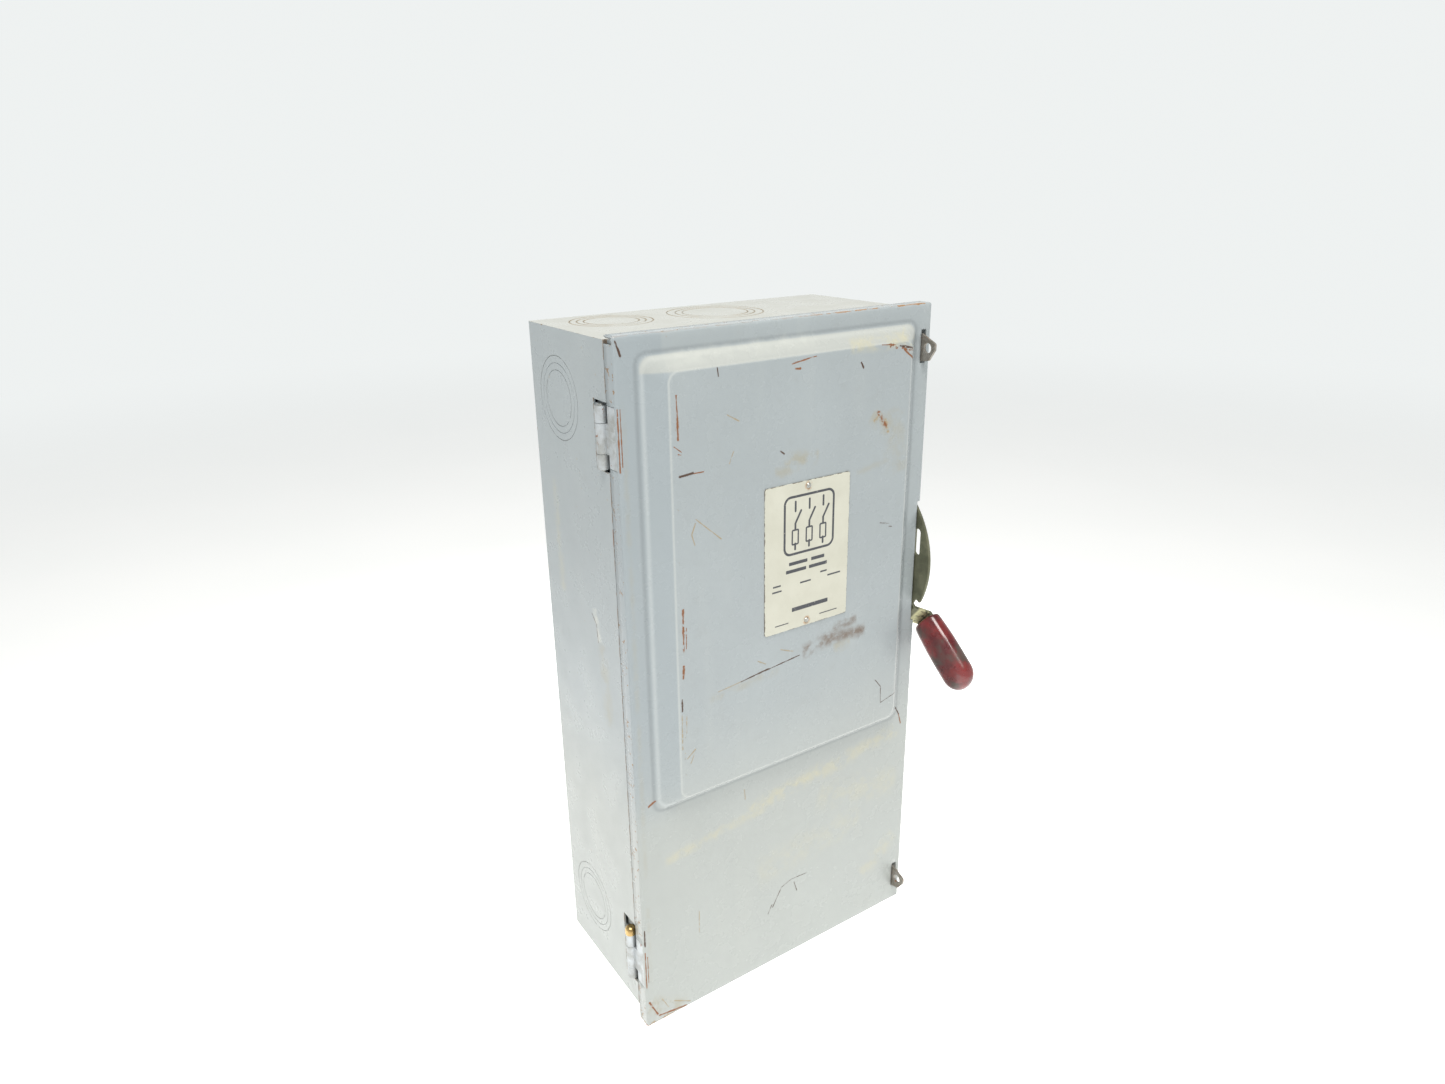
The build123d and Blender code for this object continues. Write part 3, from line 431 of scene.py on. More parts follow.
def cover_rust(s, marks):
    """Chips and rust at the edges and corners of the cover and of its raised panel."""
    rim = s.depth_inside(*rectangle(*front_limits(cover_low, cover_high)))
    marks.put(chips(s, rim, 2.2, 0.45, 150.0, 11.0), "brown")
    top_edge = s.gap(s.z, cover_high.z - 0.3 * MM)
    near_front = s.fade(s.y, cover_low.y / MM + 15.0, cover_low.y / MM + 11.5)
    more_to_the_right = s.ramp(s.x, -20.0 * MM, 120.0 * MM, 0.15, 1.0)
    marks.put(s.times(chips(s, top_edge, 2.6, 1.0, 90.0, 21.0), more_to_the_right, near_front), "orange")
    low_corner, _ = s.line((-164.0, -356.0), (-134.0, -356.0))
    marks.put(chips(s, low_corner, 22.0, 0.85, 190.0, 31.0), "tan")
    marks.put(chips(s, low_corner, 9.0, 0.8, 150.0, 34.0), "rust")
    ridge = s.gap(s.x, -115.5 * MM)
    marks.put(s.times(chips(s, ridge, 5.0, 0.42, 260.0, 41.0), s.fade(s.z, -95.0, -85.0)), "tan")
    panel_corner, _ = s.line((120.0, 309.0), (150.0, 300.0))
    marks.put(chips(s, panel_corner, 13.0, 0.75, 170.0, 51.0), "rust")


def cover_enamel():
    """Grey enamel of the cover with its scratches, stains and rusted edges."""
    s = Shader("cover_enamel", Specular_IOR_Level=0.5)
    colour = panel_light_and_shade(s, paint_base(s))
    marks = Marks(s)
    for kind, rows in FRONT_SMEARS.items():
        for x0, z0, x1, z1, width, strength in rows:
            marks.smear((x0, z0), (x1, z1), width, strength, kind)
    for kind, rows in FRONT_SCRATCHES.items():
        for x0, z0, x1, z1, width, gaps in rows:
            marks.scratch((x0, z0), (x1, z1), width, gaps, kind)
    on_front = s.fade(s.y, cover_low.y / MM + 12.5, cover_low.y / MM + 10.0)
    marks.kinds = {kind: s.times(mask, on_front) for kind, mask in marks.kinds.items()}
    cover_rust(s, marks)
    bare = s.most(marks.kinds["tan"], marks.kinds["rust"], marks.kinds["dark"])
    waves = s.noise(14.0, 2.0, 0.4, shift=6.0)
    height = s.take(s.add(s.times(orange_peel(s), 0.04), s.times(waves, 0.22)), s.times(bare, 0.14))
    rough = s.add(gloss(s, 0.20, 0.32), s.times(bare, 0.35))
    return s.finish(marks.over(colour), rough, s.bump(height, 1.0))


def inner_enamel():
    """Clean enamel on the inside of the cover."""
    s = Shader("inner_enamel", Specular_IOR_Level=0.5)
    return s.finish(paint_base(s), gloss(s, 0.30, 0.45, 0.0), s.bump(s.times(orange_peel(s), 0.05), 1.0))


def knockout_stains(s, colour, top, left):
    """Rust in the rings of the top's knockouts, and darker lines along those of the left side's."""
    top_rings = [s.times(s.fade(s.ring(centre, r - KNOCKOUT_CUT, "xy"), 1.3, 0.4), top)
                 for centre, radii in TOP_KNOCKOUTS for r in radii]
    patina = s.ramp(s.noise(22.0, 4.0, 0.6, shift=4.0), 0.32, 0.52, 0.35, 1.0)
    colour = s.mix(s.times(s.most(*top_rings), patina), colour, RING_RUST)
    side_rings = [s.times(s.fade(s.ring(centre, r - KNOCKOUT_CUT, "yz"), 0.7, 0.15), left)
                  for centre, radii in SIDE_KNOCKOUTS for r in radii]
    faint = s.ramp(s.noise(28.0, 3.0, 0.6, shift=15.0), 0.40, 0.60, 0.08, 0.42)
    return s.mix(s.times(s.most(*side_rings), faint), colour, SIDE_RING_DARK)


def side_marks(s, marks, left):
    """A drip, a dent and a few stains on the left wall, and rust round its hinge slots."""
    marks.smear((-98.0, 90.0), (-106.0, 56.0), 7.0, 1.0, "chalk", left)
    marks.smear((-110.0, 60.0), (-116.0, -30.0), 14.0, 0.5, "dirt_pale", left)
    marks.smear((-30.0, 200.0), (-34.0, 80.0), 10.0, 0.3, "cream", left)
    marks.scratch((-93.0, 82.0), (-101.0, 74.0), 0.8, 0.4, "dark", left)
    marks.scratch((-101.0, 74.0), (-103.0, 56.0), 0.7, 0.4, "dark", left)
    marks.scratch((-145.0, 163.0), (-145.0, 178.0), 0.9, 0.3, "rust", left)
    for low, high in HINGE_SLOTS_Z:
        slot = s.box((HINGE_SLOT_Y, (low + high) / 2), (HINGE_SLOT_WIDTH, high - low), 0.0, "yz")
        marks.put(s.times(chips(s, s.math("ABSOLUTE", slot), 2.2, 0.85, 150.0, 91.0), left), "brown")


def box_rust(s, marks):
    """Chips and rust along the box's edges and in the seam behind the cover."""
    outline = s.depth_inside(*rectangle(*front_limits(box_low, box_high)))
    rear, up, side = (s.gap(a, b) for a, b in ((s.y, box_high.y), (s.z, box_high.z), (s.x, box_low.x)))
    marks.put(chips(s, s.most(up, side), 3.0, 0.6, 120.0, 61.0), "brown")
    marks.put(chips(s, s.most(s.least(up, side), rear), 2.5, 0.65, 120.0, 71.0), "brown")
    marks.put(s.times(chips(s, outline, 2.0, 0.2, 200.0, 81.0), 0.8), "tan")
    seam = s.fade(s.gap(s.y, cover_high.y), 2.2, 0.6)
    marks.put(s.times(seam, s.ramp(s.noise(90.0, 3.0, 0.6, shift=9.0), 0.46, 0.56), 0.8), "brown")


def box_enamel():
    """Grey enamel of the box: knockout rings, seams and rusted edges."""
    s = Shader("box_enamel", Specular_IOR_Level=0.5)
    top = s.fade(s.z, box_high.z / MM - 0.4, box_high.z / MM - 0.1)
    left = s.fade(s.x, box_low.x / MM + 0.4, box_low.x / MM + 0.1)
    # the box's top is drawn paler and warmer: painted light from above
    colour = knockout_stains(s, s.glaze(paint_base(s), BOX_TOP_PAINTED_LIGHT, 0.6, top), top, left)
    marks = Marks(s, "yz")
    side_marks(s, marks, left)
    box_rust(s, marks)
    waves = s.noise(11.0, 2.0, 0.4, shift=16.0)
    height = s.add(s.times(orange_peel(s), 0.05), s.times(waves, 0.35))
    return s.finish(marks.over(colour), gloss(s, 0.24, 0.38), s.bump(height, 1.0))


# ---------------------------------------------------------------- other materials
VINYL, VINYL_WORN = (0.085, 0.008, 0.010), (0.20, 0.022, 0.022)
VINYL_DIRT, VINYL_PALE = (0.065, 0.048, 0.038), (0.30, 0.20, 0.17)
CHROMATE, CHROMATE_LIGHT, CHROMATE_FADED = (0.115, 0.118, 0.075), (0.19, 0.19, 0.125), (0.30, 0.29, 0.20)
CHROMATE_PAINTED_HIGHLIGHT, CHROMATE_RUST = (0.62, 0.60, 0.36), (0.15, 0.08, 0.04)
ARM_BEND_X = (182.2, 184.5, 192.0, 194.5)  # where the painted highlight on the bend's lit faces begins, is full, thins, ends
CREAM, CREAM_LIGHT, CREAM_STAIN = (0.53, 0.52, 0.435), (0.58, 0.57, 0.485), (0.45, 0.33, 0.17)
INK, PLATE_EDGE, RIVET_RUST = (0.055, 0.058, 0.068), (0.16, 0.13, 0.09), (0.42, 0.20, 0.06)
FIBRE, FIBRE_DARK = (0.50, 0.36, 0.20), (0.42, 0.28, 0.14)
BRASS, DULL_BRASS = (0.60, 0.43, 0.19), (0.36, 0.24, 0.10)
CLEAR, CLEAR_LIGHT = (0.86, 0.90, 0.88), (0.93, 0.95, 0.92)


def steel(name, colour, dark, metal, rough, scale, rust=0.0):
    """Weathered plated or bare metal with blotches, fine scratches and spots of rust."""
    s = Shader(name)
    blotch = s.noise(scale, 5.0, 0.65)
    brushed = s.noise(600.0, 3.0, 0.6, stretch=(1.0, 0.15, 1.0), shift=2.0)
    tint = s.mix(s.ramp(blotch, 0.35, 0.68), colour, dark)
    tint = s.glaze(tint, scaled(colour, 1.5), 0.35, s.ramp(brushed, 0.55, 0.8))
    metallic = metal
    if rust:
        spots = s.ramp(s.noise(scale * 1.6, 4.0, 0.7, shift=4.0), 0.66 - 0.2 * rust, 0.72 - 0.15 * rust)
        tint = s.mix(spots, tint, RUST)
        metallic = s.times(s.take(1.0, spots), metal)
    height = s.add(s.times(blotch, 0.5), s.times(brushed, 0.25))
    return s.finish(tint, s.ramp(blotch, 0.3, 0.7, *rough), s.bump(height, 0.12), metallic)


def plastic(name, colour, other, rough=(0.35, 0.6), scale=60.0, grain=900.0, depth=0.05):
    """Moulded plastic or fibre with mottling, dust and a fine grain."""
    s = Shader(name)
    cloud = s.noise(scale, 5.0, 0.6)
    dust = s.noise(scale * 4.0, 4.0, 0.7, shift=3.0)
    tint = s.mix(s.ramp(cloud, 0.35, 0.7), colour, other)
    tint = s.glaze(tint, tuple(0.6 * c + 0.12 for c in other), 0.3, s.ramp(dust, 0.62, 0.8))
    fine = s.noise(grain, 2.0, 0.5, shift=5.0)
    return s.finish(tint, s.ramp(cloud, 0.3, 0.7, *rough), s.bump(fine, depth))


def red_grip():
    """Dark red vinyl, shiny where hands have worn it, with grey-brown dirt."""
    s = Shader("red_grip", Coat_Weight=0.55, Coat_Roughness=0.16, Subsurface_Weight=0.10,
               Subsurface_Scale=0.004, Subsurface_Radius=(1.0, 0.15, 0.1))
    cloud = s.noise(45.0, 4.0, 0.6, shift=1.0)
    dirt = s.noise(38.0, 6.0, 0.62, shift=7.5)
    pale = s.noise(90.0, 5.0, 0.7, shift=12.0)
    colour = s.mix(s.ramp(cloud, 0.35, 0.65), VINYL, VINYL_WORN)
    colour = s.glaze(colour, VINYL_DIRT, 0.85, s.ramp(dirt, 0.48, 0.62))
    colour = s.glaze(colour, VINYL_PALE, 0.45, s.ramp(pale, 0.62, 0.75))
    height = s.add(s.times(s.noise(400.0, 3.0, 0.6, shift=3.0), 0.3), s.times(dirt, 0.6))
    return s.finish(colour, s.ramp(dirt, 0.4, 0.65, 0.22, 0.55), s.bump(height, 0.12))


def olive_zinc():
    """Old yellow-chromate zinc on the handle plate: olive, with a patchy painted highlight on the lit faces
    of its bend.
    """
    s = Shader("olive_zinc")
    cloud = s.noise(55.0, 5.0, 0.6)
    fine = s.noise(500.0, 3.0, 0.6, stretch=(1.0, 0.3, 1.0), shift=2.0)
    colour = s.mix(s.ramp(cloud, 0.35, 0.68), CHROMATE, CHROMATE_LIGHT)
    colour = s.glaze(colour, CHROMATE_FADED, 0.3, s.ramp(fine, 0.55, 0.75))
    begins, full, thins, ends = ARM_BEND_X
    # painted highlight on the lit faces of the arm's bend, broken into patches
    worn = s.ramp(s.noise(160.0, 3.0, 0.6, shift=6.0), 0.35, 0.5)
    colour = s.mix(s.times(s.fade(s.x, begins, full), s.fade(s.x, ends, thins), worn), colour, CHROMATE_PAINTED_HIGHLIGHT)
    rust = s.ramp(s.noise(210.0, 4.0, 0.7, shift=9.0), 0.66, 0.72)
    colour = s.mix(rust, colour, CHROMATE_RUST)
    return s.finish(colour, s.ramp(cloud, 0.3, 0.7, 0.38, 0.6), s.bump(cloud, 0.15), 0.55)


# The plate's print, measured from its centre. Frame and bars are x, z, width, height and corner radius.
SYMBOL_FRAME = (1.5, 32.0, 58.0, 56.0, 7.0)
POLES_X = (-15.0, 1.5, 18.0)
FRAME_STROKE, POLE_STROKE, FUSE_STROKE = 2.4, 2.2, 1.7
PLATE_BARS = [
    (-11.0, -5.5, 22.0, 3.4, 0.5), (12.5, -5.5, 16.0, 3.4, 0.5), (-13.5, -13.0, 24.0, 3.4, 0.5),
    (13.0, -13.0, 22.0, 3.4, 0.5), (-36.0, -24.5, 9.0, 1.7, 0.0), (-36.0, -30.0, 11.0, 1.7, 0.0),
    (-2.0, -27.0, 13.0, 1.7, 0.0), (20.0, -21.5, 8.0, 1.7, 0.0), (33.0, -27.0, 16.0, 1.7, 0.0),
    (4.0, -53.0, 44.0, 4.2, 0.6), (-30.0, -65.5, 16.0, 1.1, 0.0), (27.0, -65.5, 22.0, 1.1, 0.0),
]
INK_BLUR = 0.12


def plate_ink(s, cx, cz):
    """Mask of the plate's print: a framed three-pole fused switch symbol, rules and plain bars."""
    ink = []

    def printed(distance, half_width=0.0):
        ink.append(s.fade(distance, half_width + INK_BLUR, half_width - INK_BLUR))

    def outline(x, z, width, height, radius, stroke):
        printed(s.math("ABSOLUTE", s.box((cx + x, cz + z), (width, height), radius)), stroke / 2)

    def pole_line(x0, z0, x1, z1):
        printed(s.line((cx + x0, cz + z0), (cx + x1, cz + z1))[0], POLE_STROKE / 2)

    outline(*SYMBOL_FRAME, FRAME_STROKE)
    for x in POLES_X:
        pole_line(x, 55.0, x, 46.0)
        pole_line(x, 34.0, x + 6.5, 45.5)
        pole_line(x, 34.0, x, 28.0)
        outline(x, 20.5, 7.0, 14.0, 1.0, FUSE_STROKE)
        pole_line(x, 14.0, x, 8.5)
    for x, z, width, height, radius in PLATE_BARS:
        printed(s.box((cx + x, cz + z), (width, height), radius))
    return s.most(*ink)


def plate_print():
    """Cream enamelled label, printed, stained, and rusted at its edge and rivets."""
    s = Shader("plate_print", Specular_IOR_Level=0.45)
    (cx, cz), _ = rectangle(*front_limits(plate_low, plate_high))
    cloud = s.noise(30.0, 4.0, 0.6)
    colour = s.mix(s.ramp(cloud, 0.3, 0.7), CREAM, CREAM_LIGHT)
    colour = s.glaze(colour, CREAM_STAIN, 0.45, s.ramp(s.noise(150.0, 5.0, 0.7, shift=4.0), 0.62, 0.75))
    worn = s.ramp(s.noise(320.0, 4.0, 0.7, shift=9.0), 0.60, 0.68)
    colour = s.mix(s.times(plate_ink(s, cx, cz), s.take(1.0, s.times(worn, 0.7))), colour, INK)
    edge = s.depth_inside((cx, cz), PLATE_SIZE, PLATE_R)
    colour = s.mix(chips(s, edge, 1.6, 0.9, 160.0, 3.0), colour, PLATE_EDGE)
    rivets_z = (cz - PLATE_RIVET_Z, cz + PLATE_RIVET_Z)
    rivet = s.least(*[s.line((cx, z), (cx + 0.1, z))[0] for z in rivets_z])
    patchy = s.ramp(s.noise(240.0, 3.0, 0.6, shift=7.0), 0.4, 0.55)
    colour = s.glaze(colour, RIVET_RUST, 0.8, s.fade(rivet, 5.5, 2.5), patchy)
    height = s.times(s.noise(250.0, 3.0, 0.5, shift=1.0), 0.3)
    return s.finish(colour, s.ramp(cloud, 0.3, 0.7, 0.38, 0.5), s.bump(height, 0.1))


def fuse_body():
    """Fibre tube of a cartridge fuse, with brass end caps and copper knife blades."""
    s = Shader("fuse_body")
    cloud = s.noise(40.0, 5.0, 0.6)
    tube = s.mix(s.ramp(cloud, 0.35, 0.7), FIBRE, FIBRE_DARK)
    from_middle = s.gap(s.z, FUSE_MIDDLE_Z * MM)
    cap, blade = (s.fade(from_middle, half - 0.1, half + 0.1) for half in (FUSE_HALF - FUSE_CAP, FUSE_HALF))
    tarnish = s.ramp(s.noise(130.0, 4.0, 0.65, shift=3.0), 0.35, 0.7)
    brass, copper = s.mix(tarnish, BRASS, DULL_BRASS), s.mix(tarnish, COPPER, DULL_COPPER)
    colour = s.mix(blade, s.mix(cap, tube, brass), copper)
    fine = s.noise(700.0, 2.0, 0.5, shift=5.0)
    return s.finish(colour, s.ramp(cap, 0.0, 1.0, 0.55, 0.34), s.bump(fine, 0.05), s.times(cap, 0.9))


def clear_guard():
    """Slightly hazy clear sheet over the line lugs."""
    s = Shader("clear_guard", Transmission_Weight=0.92, IOR=1.49)
    haze = s.noise(60.0, 5.0, 0.65)
    scuffs = s.noise(500.0, 3.0, 0.7, stretch=(0.2, 1.0, 1.0), shift=2.0)
    tint = s.mix(s.ramp(haze, 0.3, 0.7), CLEAR, CLEAR_LIGHT)
    rough = s.add(s.ramp(haze, 0.3, 0.7, 0.06, 0.16), s.times(s.ramp(scuffs, 0.6, 0.8), 0.15))
    return s.finish(tint, rough, s.bump(scuffs, 0.03))


materials = {
    "grey_enamel": box_enamel(),
    "olive_zinc": olive_zinc(),
    "red_grip": red_grip(),
    "cream_plate": plate_print(),
    "zinc_steel": steel("zinc_steel", (0.52, 0.52, 0.50), (0.30, 0.30, 0.27), 0.9, (0.28, 0.5), 90.0, 0.1),
    "dull_steel": steel("dull_steel", (0.36, 0.335, 0.30), (0.20, 0.18, 0.15), 0.7, (0.42, 0.62), 110.0,
                        0.35),
    "brass": steel("brass", (0.62, 0.44, 0.19), (0.34, 0.22, 0.09), 0.95, (0.22, 0.45), 160.0),
    "copper": steel("copper", COPPER, DULL_COPPER, 0.95, (0.25, 0.45), 70.0),
    "black_phenolic": plastic("black_phenolic", (0.022, 0.021, 0.020), (0.045, 0.042, 0.038)),
    "aluminium_lug": steel("aluminium_lug", (0.66, 0.66, 0.65), (0.45, 0.45, 0.44), 0.95, (0.32, 0.55), 80.0),
    "fuse_tube": fuse_body(),
    "clear_guard": clear_guard(),
    "arc_hood": plastic("arc_hood", (0.33, 0.30, 0.26), (0.24, 0.215, 0.18), (0.55, 0.75), 50.0, 500.0, 0.12),
}
hinge_zinc = steel("hinge_zinc", (0.50, 0.53, 0.55), (0.34, 0.345, 0.33), 0.45, (0.30, 0.5), 90.0, 0.25)


# ---------------------------------------------------------------- pieces
def new_piece(name, points, faces, material, body, replaced=()):
    """A mesh piece in the row frame, in metres, riding on a body."""
    mesh = bpy.data.meshes.new(name)
    mesh.from_pydata([tuple(p) for p in points], [], faces)
    mesh.validate()
    mesh.update()
    piece = bpy.data.objects.new(name, mesh)
    bpy.context.scene.collection.objects.link(piece)
    mesh.materials.append(material)
    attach(piece, body)
    if replaced:
        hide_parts(*replaced)
    return piece


def smooth(piece, degrees):
    """Smooth shading that keeps edges sharper than the angle."""
    piece.data.polygons.foreach_set("use_smooth", [True] * len(piece.data.polygons))
    piece.data.set_sharp_from_angle(angle=radians(degrees))


WELD_REACH = 0.001
BEVEL_STEPS, BEVEL_ANGLE, NORMAL_WEIGHT = 2, radians(32.0), 80


def soften(obj, radius):
    """Rounds the edges of a CAD node a little, with modifiers only."""
    weld = obj.modifiers.new("weld", "WELD")
    weld.merge_threshold = WELD_REACH * MM
    bevel = obj.modifiers.new("bevel", "BEVEL")
    bevel.width, bevel.segments = radius * MM, BEVEL_STEPS
    bevel.limit_method, bevel.angle_limit = "ANGLE", BEVEL_ANGLE
    bevel.use_clamp_overlap = True
    weighted = obj.modifiers.new("weighted", "WEIGHTED_NORMAL")
    weighted.keep_sharp = True
    weighted.weight = NORMAL_WEIGHT


# ---- cover: one pressed sheet with a raised panel, rolled edges and turned-back flanges ----
PANEL_BLEND = 0.16  # how softly the panel's slope starts and ends, as a share of the slope
EDGE_R = 2.2
NOTCH_X, NOTCH_Z, FLANGE_NOTCH_Z = 177.5, (6.9, 141.9), (-12.1, 156.9)
HASP_SLOT_X = (169.8, 176.3)
HASPS_Z, HASP_BELOW, HASP_ABOVE = (299.9, -323.1), 15.3, 17.2
HASP_SLOTS_Z = tuple((z - HASP_BELOW, z + HASP_ABOVE) for z in HASPS_Z)
LEAVES_Z, LEAF_GAP = (229.9, -308.6), (2.0, 55.5)
LEAF_GAPS_Z = tuple((z + LEAF_GAP[0], z + LEAF_GAP[1]) for z in LEAVES_Z)
CORNER_RELIEF = 7.0
SLOPES_X, SLOPES_Z = ((-154.0, -96.0), (125.0, 168.0)), ((-112.0, -62.0), (285.0, 334.0))
FINE, COARSE = 1.3, 8.0  # the grid's spacing on the slopes and elsewhere
BENDS = tuple(radians(v) for v in (22.5, 45.0, 67.5, 90.0))
FLANGE_ROWS = (EDGE_R + 0.05, 8.0)  # rows of the flange between its bend and its rear edge, from the front
BOTTOM, RIGHT, TOP, LEFT, FAN, JOIN = range(6)  # parts of the cover's border; a join links a side and a fan
front_y = cover_low.y / MM + PANEL_HEIGHT
left_x, right_x = cover_low.x / MM + EDGE_R, cover_high.x / MM - EDGE_R
low_z, high_z = cover_low.z / MM + EDGE_R, cover_high.z / MM - EDGE_R
relief_z = cover_high.z / MM - CORNER_RELIEF


def between(value, spans):
    return any(lo < value < hi for lo, hi in spans)


def panel_share(x, z):
    """How far up the panel's slope each point is: 0 at the base line, 1 at the top line."""
    low, high = np.full(x.shape, -0.6), np.full(x.shape, 1.6)
    for _ in range(30):
        t = (low + high) / 2
        x0, x1, z0, z1 = (a + (b - a) * t for a, b in zip(PANEL_BASE, PANEL_TOP))
        qx = np.abs(x - (x0 + x1) / 2) - (x1 - x0) / 2 + PANEL_R
        qz = np.abs(z - (z0 + z1) / 2) - (z1 - z0) / 2 + PANEL_R
        far = np.hypot(np.maximum(qx, 0), np.maximum(qz, 0)) + np.minimum(np.maximum(qx, qz), 0) - PANEL_R
        low, high = np.where(far < 0, t, low), np.where(far < 0, high, t)
    return (low + high) / 2


def soft_step(t, w):
    """0 below 0 and 1 above 1, straight between, with parabolic blends of half width w."""
    def soft(u):
        return np.where(u < -w, 0.0, np.where(u > w, u, (u + w) ** 2 / (4 * w)))
    return soft(t) - soft(t - 1.0)


def spread(marks, fine_spans):
    """Grid lines through all the marks: fine inside the fine spans, coarse elsewhere."""
    marks = sorted(set(marks))
    lines = [marks[0]]
    for a, b in zip(marks, marks[1:]):
        step = FINE if between((a + b) / 2, fine_spans) else COARSE
        count = max(1, int(np.ceil((b - a) / step)))
        lines += [a + (b - a) * k / count for k in range(1, count + 1)]
    return np.array(lines)


def cover_grid():
    """The grid lines of the cover's front in x and z, with one along every cut-out's edge."""
    xs = spread([left_x, right_x, *SLOPES_X[0], *SLOPES_X[1], *HASP_SLOT_X], SLOPES_X)
    xs = np.sort(np.append(xs, NOTCH_X))  # one more line, where the notch starts
    cuts = [v for span in (*HASP_SLOTS_Z, *LEAF_GAPS_Z, NOTCH_Z, FLANGE_NOTCH_Z) for v in span]
    inner_cuts = [v for v in cuts if low_z < v < high_z]
    return xs, spread([low_z, high_z, *SLOPES_Z[0], *SLOPES_Z[1], *inner_cuts, relief_z], SLOPES_Z)


def front_faces(xs, zs):
    """Faces of the cover's front, without the hasp slots and the notch."""
    nz = len(zs)
    faces = []
    for i in range(len(xs) - 1):
        for j in range(nz - 1):
            x, z = (xs[i] + xs[i + 1]) / 2, (zs[j] + zs[j + 1]) / 2
            in_slot = between(x, [HASP_SLOT_X]) and between(z, HASP_SLOTS_Z)
            in_notch = x > NOTCH_X and between(z, [NOTCH_Z])
            if not (in_slot or in_notch):
                faces.append((i * nz + j, (i + 1) * nz + j, (i + 1) * nz + j + 1, i * nz + j + 1))
    return faces


def border_loop(nx, nz):
    """The grid's border as (point, outward angle, side), with two steps of a fan at each corner."""
    sides = {
        BOTTOM: (-90.0, [i * nz for i in range(nx)]),
        RIGHT: (0.0, [(nx - 1) * nz + j for j in range(nz)]),
        TOP: (90.0, [i * nz + nz - 1 for i in reversed(range(nx))]),
        LEFT: (180.0, list(reversed(range(nz)))),
    }
    loop = []
    for side, (angle, ids) in sides.items():
        loop += [(k, angle, side) for k in ids]
        loop += [(ids[-1], angle + turn, FAN) for turn in (30.0, 60.0)]
    return loop


def cut_away(side, x, z, deep):
    """Whether the border is cut out here; deep is the part of the flange behind its first strip."""
    if side == RIGHT:
        return between(z, [NOTCH_Z]) or (deep and between(z, [FLANGE_NOTCH_Z]))
    if side == LEFT and deep and between(z, LEAF_GAPS_Z):
        return True
    return deep and side in (LEFT, JOIN) and x < left_x + 1 and z > relief_z


def build_cover():
    xs, zs = cover_grid()
    gx, gz = np.meshgrid(xs, zs, indexing="ij")
    rise = PANEL_HEIGHT * soft_step(panel_share(gx, gz), PANEL_BLEND)
    points = [(x, front_y - h, z) for x, z, h in zip(gx.ravel(), gz.ravel(), rise.ravel())]
    faces = front_faces(xs, zs)
    loop = border_loop(len(xs), len(zs))
    # each row of the border as how far it reaches outwards, and its y: round the bend, then straight back
    profile = [(EDGE_R * sin(bend), front_y + EDGE_R * (1 - cos(bend))) for bend in BENDS]
    profile += [(EDGE_R, y) for y in (*[front_y + row for row in FLANGE_ROWS], cover_high.y / MM)]
    before = [corner for corner, _, _ in loop]
    for k, (reach, y) in enumerate(profile):
        row = []
        for corner, angle, _ in loop:
            x, _, z = points[corner]
            row.append(len(points))
            points.append((x + reach * cos(radians(angle)), y, z + reach * sin(radians(angle))))
        for i in range(len(loop)):
            j = (i + 1) % len(loop)
            (x, _, z_i), (_, _, z_j) = points[loop[i][0]], points[loop[j][0]]
            side = loop[i][2] if loop[i][2] == loop[j][2] else JOIN
            if cut_away(side, x, (z_i + z_j) / 2, k > len(BENDS)):
                continue
            face = (before[i], row[i], row[j], before[j])
            faces.append(face[:3] if before[i] == before[j] else face)
        before = row
    points = [(x * MM, y * MM, z * MM) for x, y, z in points]
    return new_piece("cover_sheet", points, faces, cover_enamel(), "cover", ("cover",))


cover_sheet = build_cover()
cover_sheet.data.materials.append(inner_enamel())
thick = cover_sheet.modifiers.new("sheet", "SOLIDIFY")
thick.thickness = SHEET * MM
thick.offset = -1.0
thick.use_even_offset = True
thick.material_offset = 1
smooth(cover_sheet, 40.0)


# ---- grip: a moulded sleeve with a waist at its neck and a domed end ----
PIVOT = Vector((195.5, -86.0, 74.4))
ARM_ANGLE = radians(41.0)
GRIP_START, GRIP_LENGTH = 106.0, 83.0  # the sleeve's neck along the arm from the pivot, and its length
GRIP_HALF = (12.0, 19.5)
GRIP_DOME, GRIP_LIP = 19.0, 3.5
GRIP_SQUARENESS = 2.5
GRIP_AROUND, GRIP_RINGS, GRIP_RING_STEP = 48, 13, 4.6
LIP_RINGS = [0.0, 0.4, 1.0, 2.0, 3.5]


def grip_width(t):
    """Half width of the sleeve, as a share of its widest, t mm from its neck."""
    body = 0.86 + 0.14 * min(1.0, t / 30.0) ** 0.7
    if t < GRIP_LIP:
        body -= 0.22 * (1.0 - sqrt(1.0 - (1.0 - t / GRIP_LIP) ** 2))
    past = t - (GRIP_LENGTH - GRIP_DOME)
    return body * sqrt(max(0.0, 1.0 - (past / GRIP_DOME) ** 2.2)) if past > 0 else body


